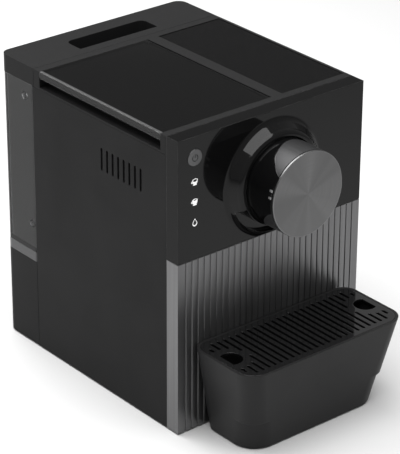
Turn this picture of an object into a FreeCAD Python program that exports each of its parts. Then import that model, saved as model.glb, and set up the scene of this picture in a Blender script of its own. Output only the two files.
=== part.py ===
"""Pod coffee machine: body shell, smoked top lid, clear water tank, twist-and-pull capsule holder
with a brushed disc knob, ribbed front panel and a pull-out drip tray with a slotted grille.

Frame: +Z up, front faces -Y, origin on the ground under the centre of the machine. Millimetres.
"""

import FreeCAD
import Part
import math
import os

from FreeCAD import Vector

# ---------------------------------------------------------------- driving dimensions
WIDTH = 200.0               # body width, X
HEIGHT = 270.0              # body height, Z
FRONT = -83.5               # front face of the body, Y
REAR = 160.5                # rear face of the body, Y
HALF = WIDTH / 2.0
WALL = 2.5                  # moulded wall thickness
SEAM = 0.3                  # gap at a visible seam
CORNER = 9.0                # rear vertical corners
GROUND_GAP = 1.5            # underside above the ground

RETURN = 14.5               # depth of the front parts' side returns
FRONT_SEAM = FRONT + RETURN
FASCIA_BOTTOM = 160.6
RIB_PANEL_TOP = 160.0
RIB_PITCH = 6.55
RIB_GROOVES = 29
RIB_GROOVE_WIDTH = 1.0
RIB_GROOVE_DEPTH = 0.8

TANK_FRONT = 113.6
TANK_WALL = 2.4
TANK_BOTTOM = 84.8
TANK_BASE_TOP = 94.0
CAP_BOTTOM = 253.8
CAP_FRONT = 111.0
DOCK_TOP = 84.4
PANEL_TOP = 253.4
BULKHEAD_FRONT = 110.9

LID_FRONT = -61.2
LID_REAR = 102.2
LID_PLATE = 2.8
LID_FLANGE_BOTTOM = 263.4
LID_HINGE_X = 14.4
LID_HINGE_R = 1.5
LID_HINGE_Z = HEIGHT - LID_HINGE_R
DIVIDER_LEFT = 17.0
DIVIDER_RIGHT = 28.5
RECESS_WALL_X = -92.0

BUTTON_X = -82.4
BUTTON_Z = 251.6
BUTTON_R = 7.3
BUTTON_HOLE_R = 7.7
ICON_Z = (230.3, 212.5, 196.3)

AXIS_Z = 211.0              # height of the brew axis, which runs along Y at X = 0
KNOB_R = 37.5
BORE_R = 37.9
KNOB_FRONT = -127.8
DISC_THICK = 2.3
SLEEVE_INNER = 34.6
SLEEVE_REAR = -74.0
KNOB_TILT = 13.0            # the knob's lobes lean clockwise when it is locked
LOBE_HALF_WIDTH = 34.0
LOBE_REACH = 29.0
TURN = 45.0                 # travel of the knob between locked and free
SPOUT_Y = -120.0
SPOUT_R = 2.6
SPOUT_END = 170.4
BARREL_R = 34.2
BASKET_BORE_R = 29.0
BARREL_FRONT = -122.9
BARREL_WALL_REAR = -119.5
BARREL_REAR = -40.0
BARREL_STEP = -73.4
SOCKET_REAR = -18.0

TRAY_TOP = 82.0
TRAY_HALF = 87.1
TRAY_FRONT = -160.5
TRAY_REAR = -84.0
TRAY_TAPER = 14.4           # inset of the sides and front at the underside
TRAY_STEP_Z = 29.5
TRAY_WALL = 2.4
TRAY_FLOOR = 9.0
TRAY_RIM = 2.6
TONGUE_HALF = 38.0
BASE_TOP = 4.5
BASE_RIB_TOP = 11.0
RIB_WALL = 2.0
SLOT_WIDTH = 2.8
SLOT_COUNT = 25
FINGER_X = 74.8
FINGER_Y = -121.7
FINGER_R = 10.0
FINGER_FLAT = 79.5

VALVE_Y = 137.0


# ---------------------------------------------------------------- small builders
def box(x0, x1, y0, y1, z0, z1):
    """A block between two corners."""
    return Part.makeBox(x1 - x0, y1 - y0, z1 - z0, Vector(x0, y0, z0))


def rod_y(x, z, radius, y0, y1):
    """A round bar along Y."""
    return Part.makeCylinder(radius, y1 - y0, Vector(x, y0, z), Vector(0, 1, 0))


def rod_z(x, y, radius, z0, z1):
    """A round bar along Z."""
    return Part.makeCylinder(radius, z1 - z0, Vector(x, y, z0), Vector(0, 0, 1))


def rod_x(y, z, radius, x0, x1):
    """A round bar along X."""
    return Part.makeCylinder(radius, x1 - x0, Vector(x0, y, z), Vector(1, 0, 0))


def ring_y(radius, inner, y0, y1):
    """A tube on the brew axis."""
    return rod_y(0, AXIS_Z, radius, y0, y1).cut(rod_y(0, AXIS_Z, inner, y0 - 1, y1 + 1))


def joined(shapes):
    """One clean solid from touching shapes."""
    result = shapes[0]
    for shape in shapes[1:]:
        result = result.fuse(shape)
    return result.removeSplitter()


def mirrored(shape):
    """The same shape on the other side of the machine."""
    return shape.mirror(Vector(0, 0, 0), Vector(1, 0, 0))


def plan_wire(half, front, rear, front_r, rear_r, z):
    """A closed outline in plan, with its own radius at the front and at the rear corners."""
    points = []
    for x, y, r, a in (
        (half, rear, rear_r, 0),
        (-half, rear, rear_r, 90),
        (-half, front, front_r, 180),
        (half, front, front_r, 270),
    ):
        cx = x - math.copysign(r, x)
        cy = y - r if y == rear else y + r
        arc = [math.radians(a + step) for step in (0, 45, 90)]
        points.append([Vector(cx + r * math.cos(t), cy + r * math.sin(t), z) for t in arc])
    edges = []
    for index, (start, middle, end) in enumerate(points):
        edges.append(Part.Arc(start, middle, end).toShape())
        following = points[(index + 1) % 4][0]
        edges.append(Part.LineSegment(end, following).toShape())
    return Part.Wire(edges)


def plan_block(half, front, rear, front_r, rear_r, z0, z1):
    """A prism on a plan outline."""
    face = Part.Face(plan_wire(half, front, rear, front_r, rear_r, z0))
    return face.extrude(Vector(0, 0, z1 - z0))


def turned(points, arcs):
    """A solid of revolution about the brew axis from (radius, y) points.

    arcs maps the index of a span's first point to the point its arc passes through.
    """
    def place(point):
        return Vector(point[0], point[1], AXIS_Z)

    edges = []
    for index, start in enumerate(points):
        end = points[(index + 1) % len(points)]
        if index in arcs:
            edges.append(Part.Arc(place(start), place(arcs[index]), place(end)).toShape())
        else:
            edges.append(Part.LineSegment(place(start), place(end)).toShape())
    face = Part.Face(Part.Wire(edges))
    return face.revolve(Vector(0, 0, AXIS_Z), Vector(0, 1, 0), 360)


def torus_y(major, minor, y):
    """A seal ring on the brew axis."""
    return Part.makeTorus(major, minor, Vector(0, y, AXIS_Z), Vector(0, 1, 0))


def coil(radius, wire, pitch, length):
    """A compression spring standing on the origin along +Z."""
    helix = Part.makeHelix(pitch, length, radius)
    start = helix.Vertexes[0].Point
    section = Part.Wire(Part.makeCircle(wire, start, Vector(0, 1, pitch / (2 * math.pi * radius))))
    return Part.Wire(helix).makePipeShell([section], True, True)


def pipe(points, radius):
    """A hose through a list of points, with round elbows."""
    pieces = []
    for start, end in zip(points, points[1:]):
        a = Vector(*start)
        run = Vector(*end) - a
        pieces.append(Part.makeCylinder(radius, run.Length, a, run))
    for point in points[1:-1]:
        pieces.append(Part.makeSphere(radius, Vector(*point)))
    return joined(pieces)


def screw(radius, head_r, head, length):
    """A flat-head screw pointing along +Z with its head's outer face at the origin."""
    body = joined([rod_z(0, 0, head_r, 0, head), rod_z(0, 0, radius, head, length)])
    slot = box(-head_r * 0.7, head_r * 0.7, -0.4, 0.4, -1, head * 0.45)
    cross = box(-0.4, 0.4, -head_r * 0.7, head_r * 0.7, -1, head * 0.45)
    return body.cut(slot.fuse(cross))


def placed(shape, position, axis=None, angle=0.0):
    """A copy of a shape, turned about the origin and then moved."""
    copy = shape.copy()
    if axis:
        copy.rotate(Vector(0, 0, 0), Vector(*axis), angle)
    copy.translate(Vector(*position))
    return copy


def screw_holes(positions, radius, head_r, head, depth, axis=None, angle=0.0):
    """Clearance for a group of screws of the same size."""
    hole = joined([rod_z(0, 0, head_r, -1, head), rod_z(0, 0, radius, head, depth)])
    return Part.Compound([placed(hole, p, axis, angle) for p in positions])


# ---------------------------------------------------------------- base and feet
BASE_SCREWS = [(x, y, GROUND_GAP) for x in (-60.0, 60.0) for y in (-55.0, 40.0, 130.0)]
FEET = [(x, y) for x in (-84.0, 84.0) for y in (-66.0, 143.0)]
TONGUE_FRONT = -139.0
TONGUE_Z = (2.2, 5.6)


def base_plate():
    """Flat floor plate of the body, with the holes of its four screws."""
    plate = plan_block(HALF - 3.0, FRONT + 3.2, REAR - 3.2, 1.0, CORNER - 3.0, GROUND_GAP, BASE_TOP)
    return plate.cut(screw_holes(BASE_SCREWS, 1.6, 3.1, 2.0, 10.2))


def base_ribs():
    """Locating ribs and screw bosses that stand on the floor plate."""
    side = HALF - 3.0
    front = FRONT + 3.2 + CORNER
    rear = REAR - 3.2
    shapes = [rod_z(x, y, 5.0, BASE_TOP, 12.0) for x, y, z in BASE_SCREWS]
    for x in (-side, side - RIB_WALL):
        shapes.append(box(x, x + RIB_WALL, front, rear - CORNER, BASE_TOP, BASE_RIB_TOP))
    shapes.append(box(CORNER - side, side - CORNER, rear - RIB_WALL, rear, BASE_TOP, BASE_RIB_TOP))
    holes = screw_holes(BASE_SCREWS, 1.6, 3.1, 2.0, 10.2)
    return Part.Compound([shape.cut(holes) for shape in shapes])


def tray_tongue():
    """Tongue that the drip tray slides onto, lapped over the floor plate's front edge."""
    tongue = box(-TONGUE_HALF, TONGUE_HALF, TONGUE_FRONT, FRONT + 3.2, TONGUE_Z[0], TONGUE_Z[1])
    tips = [e for e in tongue.Edges if e.BoundBox.YMax < TONGUE_FRONT + 0.01 and e.BoundBox.ZLength > 3]
    lap = box(-TONGUE_HALF, TONGUE_HALF, FRONT + 3.2, FRONT + 14.0, BASE_TOP, TONGUE_Z[1])
    return joined([tongue.makeFillet(8.0, tips), lap])


def machine_feet():
    """Four round rubber feet under the body."""
    feet = []
    for x, y in FEET:
        foot = rod_z(x, y, 8.0, 0.0, GROUND_GAP)
        feet.append(foot.makeFillet(0.5, [e for e in foot.Edges if e.BoundBox.ZMax < 0.01]))
    return Part.Compound(feet)


def base_screws():
    """Six cross-head screws from below."""
    return Part.Compound([placed(screw(1.5, 3.0, 2.0, 10.0), p) for p in BASE_SCREWS])


# ---------------------------------------------------------------- side panels, rear cover, bulkhead
VENTS = 8
VENT_PITCH = 7.45
VENT_FIRST = -35.5
VENT_Z = (209.0, 229.7)
VENT_WIDTH = 2.6


def left_side_panel():
    """Left side panel with its row of vent slots and inward flanges along every edge."""
    x0 = -HALF
    y0 = FRONT_SEAM + SEAM
    y1 = TANK_FRONT - SEAM - 0.1
    skin = box(x0, x0 + WALL, y0, y1, GROUND_GAP, PANEL_TOP)
    lip = 4.0
    front = box(x0 + WALL, x0 + WALL + lip, y0 + 1.5, y0 + 3.5, 12.0, PANEL_TOP - 4)
    rear = box(x0 + WALL, x0 + WALL + lip, y1 - 7.0, y1 - 5.0, 12.0, PANEL_TOP - 4)
    shape = joined([skin, front, rear])
    vents = []
    for index in range(VENTS):
        y = VENT_FIRST + index * VENT_PITCH
        z0 = VENT_Z[0] + VENT_WIDTH / 2
        z1 = VENT_Z[1] - VENT_WIDTH / 2
        vents.append(box(x0 - 1, x0 + 4, y - VENT_WIDTH / 2, y + VENT_WIDTH / 2, z0, z1))
        vents.append(rod_x(y, z0, VENT_WIDTH / 2, x0 - 1, x0 + 4))
        vents.append(rod_x(y, z1, VENT_WIDTH / 2, x0 - 1, x0 + 4))
    return shape.cut(vents)


def right_side_panel():
    """Right side panel, the left one's mirror image."""
    return mirrored(left_side_panel())


REAR_SCREWS = [(x, REAR, z) for x in (-78.0, 78.0) for z in (22.0, 66.0)]
GLAND_X = 62.0
GLAND_Z = 44.0
GLAND_R = 9.0


def rear_lower_cover():
    """Rear cover below the tank: rounded corners, the tank's dock on top, cord outlet and screws."""
    outer = plan_block(HALF, TANK_FRONT, REAR, 0.5, CORNER, GROUND_GAP, DOCK_TOP)
    inner = plan_block(HALF - WALL, TANK_FRONT - 1, REAR - WALL, 0.4, CORNER - WALL, 0.0, DOCK_TOP - WALL)
    shape = outer.cut(inner)
    for x, y, z in REAR_SCREWS:
        shape = shape.fuse(rod_y(x, z, 4.5, REAR - 12.0, REAR - 1.0))
    shape = shape.cut(screw_holes(REAR_SCREWS, 1.6, 3.1, 2.0, 10.2, (1, 0, 0), 90))
    shape = shape.cut(rod_y(GLAND_X, GLAND_Z, GLAND_R, REAR - 6, REAR + 1))
    shape = shape.cut(rod_z(0, VALVE_Y, 11.2, DOCK_TOP - 5, DOCK_TOP + 1))
    return shape.removeSplitter()


def rear_cover_screws():
    """Four cross-head screws in the rear cover."""
    one = screw(1.5, 3.0, 2.0, 10.0)
    return Part.Compound([placed(one, p, (1, 0, 0), 90) for p in REAR_SCREWS])


def cord_gland():
    """Rubber grommet of the mains cord outlet, flush with the rear face."""
    body = rod_y(GLAND_X, GLAND_Z, GLAND_R, REAR - WALL, REAR - 0.2)
    body = body.fuse(rod_y(GLAND_X, GLAND_Z, GLAND_R + 2.5, REAR - WALL - 2.5, REAR - WALL))
    dish = Part.makeCone(GLAND_R - 2.0, 4.2, 2.0, Vector(GLAND_X, REAR, GLAND_Z), Vector(0, -1, 0))
    return body.cut([dish, rod_y(GLAND_X, GLAND_Z, 3.6, REAR - 12, REAR + 1)]).removeSplitter()


def rear_bulkhead():
    """Wall between the works and the tank bay."""
    wall = box(-HALF + 2.8, HALF - 2.8, BULKHEAD_FRONT, TANK_FRONT - SEAM - 0.1, DOCK_TOP + 0.2, 253.4)
    ribs = [box(x - 1, x + 1, BULKHEAD_FRONT - 5, BULKHEAD_FRONT + 0.5, 100, 200) for x in (-45, 0, 45)]
    return joined([wall] + ribs)


# ---------------------------------------------------------------- top of the body
def hinge_hole(y0, y1):
    """Bore for one of the lid's hinge pins."""
    return rod_y(LID_HINGE_X, LID_HINGE_Z, 0.85, y0, y1)


def top_frame():
    """Top surround: front and rear bars, divider, right skirt and the wall of the finger recess."""
    y0 = FRONT_SEAM + SEAM
    y1 = CAP_FRONT - SEAM
    z0 = PANEL_TOP + SEAM
    front = box(-HALF, HALF, y0, LID_FRONT - SEAM, z0, HEIGHT)
    rear = box(-HALF, HALF, LID_REAR + SEAM, y1, z0, HEIGHT)
    skirt = box(HALF - WALL, HALF, y0, y1, z0, HEIGHT)
    recess = box(RECESS_WALL_X, RECESS_WALL_X + 2.0, y0, y1, z0, HEIGHT - LID_PLATE - 0.4)
    ledge = box(-HALF, RECESS_WALL_X + 1.0, y0, y1, z0, z0 + 1.5)
    divider = box(DIVIDER_LEFT, DIVIDER_RIGHT, y0, y1, 258.0, HEIGHT)
    shelf = box(HALF - WALL - 4, HALF - WALL, y0, y1, 262.0, 264.0)
    shape = joined([front, rear, skirt, recess, ledge, divider, shelf])
    shape = shape.cut([hinge_hole(LID_FRONT - 4, LID_FRONT), hinge_hole(LID_REAR, LID_REAR + 4)])
    return shape


def top_right_panel():
    """Smooth cover plate set into the right half of the top, on two locating ribs."""
    x0 = DIVIDER_RIGHT + SEAM
    x1 = HALF - WALL - SEAM
    plate = box(x0, x1, LID_FRONT, LID_REAR, 267.0, HEIGHT - 0.5)
    ribs = [box(x0 + 6, x1 - 8, y, y + 2, 262.0, 267.2) for y in (LID_FRONT + 20, LID_REAR - 22)]
    return joined([plate] + ribs)


TRAY_WELL_SPLIT = 22.0


def storage_tray():
    """Moulded compartment under the lid: shallow over the brew unit, a deep pocket behind it."""
    x0 = RECESS_WALL_X + 2.4
    x1 = DIVIDER_LEFT - 0.6
    y0 = LID_FRONT + 0.3
    y1 = LID_REAR - 0.3
    wall = 1.8
    top = 264.8
    shallow = 256.0
    deep = 222.0
    outer = box(x0, x1, y0, y1, shallow, top)
    outer = outer.fuse(box(x0, x1, TRAY_WELL_SPLIT, y1, deep, top))
    inner = box(x0 + wall, x1 - wall, y0 + wall, y1 - wall, shallow + wall, top + 1)
    pocket = box(x0 + wall, x1 - wall, TRAY_WELL_SPLIT + wall, y1 - wall, deep + wall, top + 1)
    corners = [e for e in inner.Edges if e.BoundBox.ZLength > 5]
    inner = inner.makeFillet(6.0, corners)
    corners = [e for e in pocket.Edges if e.BoundBox.ZLength > 5]
    pocket = pocket.makeFillet(6.0, corners)
    return outer.removeSplitter().cut(inner.fuse(pocket))


def storage_lid():
    """Smoked clear lid with a finger flange on its left edge and a round hinge edge on its right."""
    z0 = HEIGHT - LID_PLATE
    plate = box(-HALF, LID_HINGE_X, LID_FRONT, LID_REAR, z0, HEIGHT)
    flange = box(-HALF, -HALF + WALL, LID_FRONT, LID_REAR, LID_FLANGE_BOTTOM, HEIGHT)
    edge = rod_y(LID_HINGE_X, LID_HINGE_Z, LID_HINGE_R, LID_FRONT, LID_REAR)
    shape = joined([plate, flange, edge])
    soft = [e for e in shape.Edges if e.BoundBox.XMax < -HALF + 0.01 and e.BoundBox.YLength > 100]
    shape = shape.makeFillet(0.8, soft)
    return shape.cut([hinge_hole(LID_FRONT - 1, LID_FRONT + 4), hinge_hole(LID_REAR - 4, LID_REAR + 1)])


def lid_hinge_pins():
    """Two short steel pins that the lid turns on."""
    front = rod_y(LID_HINGE_X, LID_HINGE_Z, 0.8, LID_FRONT - 3.6, LID_FRONT + 4)
    rear = rod_y(LID_HINGE_X, LID_HINGE_Z, 0.8, LID_REAR - 4, LID_REAR + 3.6)
    return Part.Compound([front, rear])


# ---------------------------------------------------------------- control marks
MARK_THICK = 0.15


def mark(shape, position):
    """A thin mark drawn in the XY plane, stood up on the fascia's face at (x, z)."""
    return placed(shape, (position[0], FRONT, position[1]), (1, 0, 0), 90)


def flat_disc(x, y, radius):
    """A thin disc in the drawing plane of the marks."""
    return Part.makeCylinder(radius, MARK_THICK, Vector(x, y, 0))


def flat_bar(x0, x1, y0, y1):
    """A thin rectangle in the drawing plane of the marks."""
    return Part.makeBox(x1 - x0, y1 - y0, MARK_THICK, Vector(x0, y0, 0))


def cup_mark(size, position):
    """A cup seen from the side: bowl, handle and foot line."""
    half = size / 2
    bowl = flat_disc(0, 0, half).cut(flat_bar(-size, size, 0, size))
    wall = flat_bar(-half, half, -0.05 * size, 0.28 * size)
    ring = flat_disc(half, 0.04 * size, 0.24 * size).cut(flat_disc(half, 0.04 * size, 0.13 * size))
    foot = flat_bar(-0.4 * size, 0.4 * size, -0.66 * size, -0.56 * size)
    return mark(joined([bowl, wall, ring, foot]), position)


def drop_shape(radius):
    """A disc with a pointed top."""
    side = radius * math.cos(math.radians(35))
    rise = radius * math.sin(math.radians(35))
    tip = Vector(0, 1.74 * radius, 0)
    corners = [Vector(-side, rise, 0), Vector(side, rise, 0), tip, Vector(-side, rise, 0)]
    point = Part.Face(Part.makePolygon(corners)).extrude(Vector(0, 0, MARK_THICK))
    return joined([flat_disc(0, 0, radius), point])


def drop_mark(radius, position):
    """A water drop drawn as an outline."""
    return mark(drop_shape(radius).cut(drop_shape(radius * 0.62)), position)


def small_cup_light():
    """Lit mark of the short coffee."""
    return cup_mark(5.2, (BUTTON_X, ICON_Z[0]))


def large_cup_light():
    """Lit mark of the long coffee."""
    return cup_mark(6.0, (BUTTON_X, ICON_Z[1]))


def drop_light():
    """Lit mark of the rinse and the water warning."""
    return drop_mark(3.2, (BUTTON_X, ICON_Z[2]))


# ---------------------------------------------------------------- front parts
def collar():
    """The flared ring round the capsule holder's mouth, before the fascia trims it."""
    foot = 53.0
    points = [
        (BORE_R, FRONT + 2.0),
        (BORE_R, FRONT - 10.6),
        (39.3, FRONT - 11.3),
        (44.2, FRONT - 7.9),
        (47.6, FRONT - 3.4),
        (foot, FRONT),
        (foot, FRONT + 2.0),
    ]
    arcs = {1: (38.3, FRONT - 11.1), 2: (42.4, FRONT - 10.3), 4: (49.6, FRONT - 1.2)}
    return turned(points, arcs)


RELIEF_ANGLES = (-157.5, -22.5)


def sector(start, stop, y0, y1, reach=90.0):
    """A wedge about the brew axis between two angles, swept from start up to stop through the bottom."""
    steps = 6
    corners = [Vector(0, y0, AXIS_Z)]
    for index in range(steps + 1):
        angle = math.radians(start + (stop - start) * index / steps)
        corners.append(Vector(reach * math.cos(angle), y0, AXIS_Z + reach * math.sin(angle)))
    corners.append(corners[0])
    return Part.Face(Part.makePolygon(corners)).extrude(Vector(0, y1 - y0, 0))


def collar_relief():
    """Dark arc-shaped trough round the lower half of the holder's mouth."""
    trough = ring_y(47.0, 39.4, FRONT - 12, FRONT + 0.6)
    return trough.common(sector(RELIEF_ANGLES[0], RELIEF_ANGLES[1], FRONT - 20, FRONT + 5))


def front_fascia():
    """Gloss front: flat face, side and top returns, the flared collar and the control openings."""
    outer = box(-HALF, HALF, FRONT, FRONT_SEAM, FASCIA_BOTTOM, HEIGHT)
    inner = box(-HALF + WALL, HALF - WALL, FRONT + 2.8, FRONT_SEAM + 1, FASCIA_BOTTOM - 1, HEIGHT - WALL)
    shell = outer.cut(inner)
    shell = shell.fuse(collar())
    below = box(-HALF, HALF, FRONT - 20, FRONT_SEAM, 100.0, FASCIA_BOTTOM)
    shell = shell.cut([below, rod_y(0, AXIS_Z, BORE_R, FRONT - 20, FRONT_SEAM)])
    shell = shell.cut(rod_y(BUTTON_X, BUTTON_Z, BUTTON_HOLE_R, FRONT - 1, FRONT + 5))
    return shell.cut(collar_relief()).removeSplitter()


def ribbed_front_panel():
    """Lower front: vertical grooves across the face, plain side returns and a notch for the tongue."""
    outer = box(-HALF, HALF, FRONT, FRONT_SEAM, GROUND_GAP, RIB_PANEL_TOP)
    inner = box(-HALF + WALL, HALF - WALL, FRONT + WALL, FRONT_SEAM + 1, 0, RIB_PANEL_TOP - WALL)
    shape = outer.cut(inner)
    grooves = []
    for index in range(RIB_GROOVES):
        x = (index - (RIB_GROOVES - 1) / 2) * RIB_PITCH
        half = RIB_GROOVE_WIDTH / 2
        grooves.append(box(x - half, x + half, FRONT - 1, FRONT + RIB_GROOVE_DEPTH, 0, RIB_PANEL_TOP + 1))
    notch = box(-TONGUE_HALF - 0.4, TONGUE_HALF + 0.4, FRONT - 1, FRONT + 4, 0, TONGUE_Z[1] + 0.4)
    return shape.cut(grooves + [notch])


def power_button():
    """Round push button with an engraved power sign and a guide stem."""
    cap = rod_y(BUTTON_X, BUTTON_Z, BUTTON_R, FRONT - 0.4, FRONT + 4.0)
    rim = [e for e in cap.Edges if e.BoundBox.YMax < FRONT - 0.39]
    cap = cap.makeFillet(0.35, rim)
    stem = rod_y(BUTTON_X, BUTTON_Z, 1.8, FRONT + 4.0, FRONT + 9.0)
    shape = joined([cap, stem])
    depth = FRONT - 0.05
    ring = rod_y(BUTTON_X, BUTTON_Z - 0.3, 3.1, FRONT - 1, depth)
    ring = ring.cut(rod_y(BUTTON_X, BUTTON_Z - 0.3, 2.4, FRONT - 2, FRONT + 1))
    gap = box(BUTTON_X - 1.1, BUTTON_X + 1.1, FRONT - 2, FRONT + 1, BUTTON_Z, BUTTON_Z + 4)
    bar = box(BUTTON_X - 0.35, BUTTON_X + 0.35, FRONT - 1, depth, BUTTON_Z - 0.2, BUTTON_Z + 3.4)
    return shape.cut([ring.cut(gap), bar])


def button_spring():
    """Return spring round the button's stem."""
    spring = coil(2.6, 0.25, 1.8, 3.6)
    return placed(spring, (BUTTON_X, FRONT + 8.1, BUTTON_Z), (1, 0, 0), 90)


BOARD_Y = (FRONT + 12.9, FRONT + 14.4)


def power_switch():
    """Micro switch behind the button, on the control board."""
    case = box(BUTTON_X - 4, BUTTON_X + 4, FRONT + 10.9, BOARD_Y[0], BUTTON_Z - 4, BUTTON_Z + 4)
    guide = rod_y(BUTTON_X, BUTTON_Z, 4.4, FRONT + 8.6, FRONT + 11.0)
    guide = guide.cut(rod_y(BUTTON_X, BUTTON_Z, 2.1, FRONT + 8, FRONT + 10.9))
    return joined([case, guide])


def control_board():
    """Control board behind the fascia, with the light sources of the three marks."""
    board = box(-95.0, -70.0, BOARD_Y[0], BOARD_Y[1], 186.0, 262.0)
    lamps = [rod_y(BUTTON_X, z, 2.5, FRONT + 8.0, BOARD_Y[0] + 0.2) for z in ICON_Z]
    chip = box(-90.0, -76.0, BOARD_Y[0] - 1.4, BOARD_Y[0] + 0.1, 219.0, 224.0)
    return joined([board, chip] + lamps)


# ---------------------------------------------------------------- brew unit, fixed in the body
BREW_SCREW_STEP = 45.0 * math.sqrt(0.5)
BREW_SCREWS = [(x, z) for x in (-BREW_SCREW_STEP, BREW_SCREW_STEP) for z in (-BREW_SCREW_STEP, BREW_SCREW_STEP)]
FLANGE_Y = (FRONT + 2.8, FRONT + 5.6)


def brew_socket():
    """Sleeve that the capsule holder slides into, with a front flange and a closed rear wall."""
    tube = ring_y(41.0, BORE_R, FLANGE_Y[0], SOCKET_REAR)
    wall = ring_y(41.0, 10.2, SOCKET_REAR - 4.0, SOCKET_REAR)
    flange = ring_y(49.0, BORE_R, FLANGE_Y[0], FLANGE_Y[1])
    shape = joined([tube, wall, flange])
    holes = [rod_y(x, AXIS_Z + z, 1.6, FLANGE_Y[0] - 1, FLANGE_Y[1] + 1) for x, z in BREW_SCREWS]
    return shape.cut(holes)


def brew_screws():
    """Four screws that clamp the socket's flange to the fascia."""
    one = screw(1.5, 3.0, 2.0, 4.8)
    places = [(x, FLANGE_Y[1] + 2.0, AXIS_Z + z) for x, z in BREW_SCREWS]
    return Part.Compound([placed(one, p, (1, 0, 0), 90) for p in places])


def brew_frame():
    """Steel stand that carries the socket on the base plate."""
    y0 = FRONT_SEAM + 1.0
    y1 = SOCKET_REAR - 4.0
    legs = [box(x, x + 2.0, y0, y1, 4.5, 212.0) for x in (-44.5, 42.5)]
    bridge = box(-43.0, 43.0, y0, y1, 163.0, 165.5)
    saddle = box(-14.0, 14.0, y0 + 10, y1 - 10, 165.0, 173.0)
    saddle = saddle.cut(rod_y(0, AXIS_Z, 41.0, y0 - 1, y1 + 1))
    feet = [box(x, x + 12.0, y0, y1, 4.5, 6.5) for x in (-54.5, 42.5)]
    return joined(legs + [bridge, saddle] + feet)


def brew_head():
    """Piston that closes the capsule, with its water neck behind the socket."""
    piston = rod_y(0, AXIS_Z, 26.8, -60.0, SOCKET_REAR - 4.0)
    neck = rod_y(0, AXIS_Z, 10.0, SOCKET_REAR - 5.0, SOCKET_REAR + 8.0)
    groove = torus_y(26.8, 1.2, -55.0)
    return joined([piston, neck]).cut([groove, rod_y(0, AXIS_Z, 3.0, -61.0, SOCKET_REAR + 9.0)])


def brew_gasket():
    """Rubber face seal on the piston."""
    return ring_y(26.0, 20.0, -61.6, -60.0)


def brew_needles():
    """Three hollow needles that open the capsule, on a small plate."""
    plate = ring_y(14.0, 3.2, -61.0, -60.0)
    pieces = [plate]
    for angle in (90, 210, 330):
        x = 9.0 * math.cos(math.radians(angle))
        z = AXIS_Z + 9.0 * math.sin(math.radians(angle))
        tip = Part.makeCone(1.0, 0.2, 2.5, Vector(x, -65.0, z), Vector(0, -1, 0))
        pieces.append(rod_y(x, z, 1.0, -65.0, -60.5).fuse(tip))
    return joined(pieces)


# ---------------------------------------------------------------- capsule holder, slides along Y
def holder_barrel():
    """Barrel of the holder: carries the capsule basket and guides it in the socket."""
    front = ring_y(BARREL_R, BASKET_BORE_R, BARREL_WALL_REAR, BARREL_STEP)
    guide = ring_y(KNOB_R, BASKET_BORE_R, BARREL_STEP, BARREL_REAR)
    groove = ring_y(KNOB_R + 1, 35.4, -46.3, -43.7)
    shape = joined([front, guide]).cut(groove)
    return shape.cut(rod_z(0, SPOUT_Y, 1.8, AXIS_Z - BARREL_R - 1, AXIS_Z - 2))


def holder_front():
    """Front wall of the holder, welded to the barrel, with the pivot screw's hole."""
    wall = rod_y(0, AXIS_Z, BARREL_R, BARREL_FRONT, BARREL_WALL_REAR)
    wall = wall.cut(rod_y(0, AXIS_Z, 2.9, BARREL_FRONT - 1, BARREL_FRONT + 5))
    return wall.cut(rod_z(0, SPOUT_Y, 1.8, AXIS_Z - BARREL_R - 1, AXIS_Z - 2))


def capsule_basket():
    """Steel cup that takes the capsule, open towards the piston."""
    cup = ring_y(28.8, 27.4, BARREL_FRONT + 3.6, -63.0)
    floor = ring_y(28.8, 4.5, BARREL_FRONT + 3.6, BARREL_FRONT + 5.0)
    lip = ring_y(28.95, 27.4, -64.2, -62.6)
    return joined([cup, floor, lip])


def holder_seal():
    """O-ring on the barrel's guide."""
    return torus_y(36.6, 1.15, -45.0)


def spout():
    """Coffee outlet, pointing straight down, with a plug pressed into the barrel's wall."""
    joint = AXIS_Z - BARREL_R
    tube = rod_z(0, SPOUT_Y, SPOUT_R, SPOUT_END, joint - 0.02)
    plug = rod_z(0, SPOUT_Y, 1.75, joint - 0.1, joint + 3.0)
    bore = rod_z(0, SPOUT_Y, 1.2, SPOUT_END - 1, joint + 4)
    return joined([tube, plug]).cut(bore)


def knob_pivot_screw():
    """Shoulder screw that the knob turns on, hidden by the disc."""
    head = rod_y(0, AXIS_Z, 6.2, -125.2, -124.6)
    shoulder = rod_y(0, AXIS_Z, 3.9, -124.7, BARREL_FRONT)
    thread = rod_y(0, AXIS_Z, 2.9, BARREL_FRONT - 0.1, BARREL_FRONT + 3.4)
    return joined([head, shoulder, thread])


# ---------------------------------------------------------------- knob, turns on the holder
def lobe_volume():
    """Upright elliptical column that divides the bright lobes from the black sleeve."""
    centre = Vector(0, KNOB_FRONT - 0.7, AXIS_Z - 60)
    ellipse = Part.Ellipse(centre, LOBE_HALF_WIDTH, LOBE_REACH)
    column = Part.Face(Part.Wire(ellipse.toShape())).extrude(Vector(0, 0, 120))
    column.rotate(Vector(0, 0, AXIS_Z), Vector(0, 1, 0), KNOB_TILT)
    return column


def spout_slot():
    """Arc slot in the knob's wall that clears the spout over the whole turn."""
    band = ring_y(KNOB_R + 2, SLEEVE_INNER - 1, SPOUT_Y - SPOUT_R - 0.6, SPOUT_Y + SPOUT_R + 0.6)
    margin = 7.0
    return band.common(sector(-90 - TURN - margin, -90 + margin, -200, 0, 60.0))


def knob_sleeve():
    """Black sleeve of the knob, with a fish-mouth at its top and bottom for the bright lobes."""
    shell = ring_y(KNOB_R, SLEEVE_INNER, KNOB_FRONT + DISC_THICK + 0.4, SLEEVE_REAR)
    line = ring_y(KNOB_R + 1, KNOB_R - 0.35, FRONT - 10.9, FRONT - 10.3)
    seat = rod_y(0, AXIS_Z, SLEEVE_INNER + 0.2, KNOB_FRONT, -123.4)
    return shell.cut([lobe_volume(), line, spout_slot(), seat])


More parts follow.
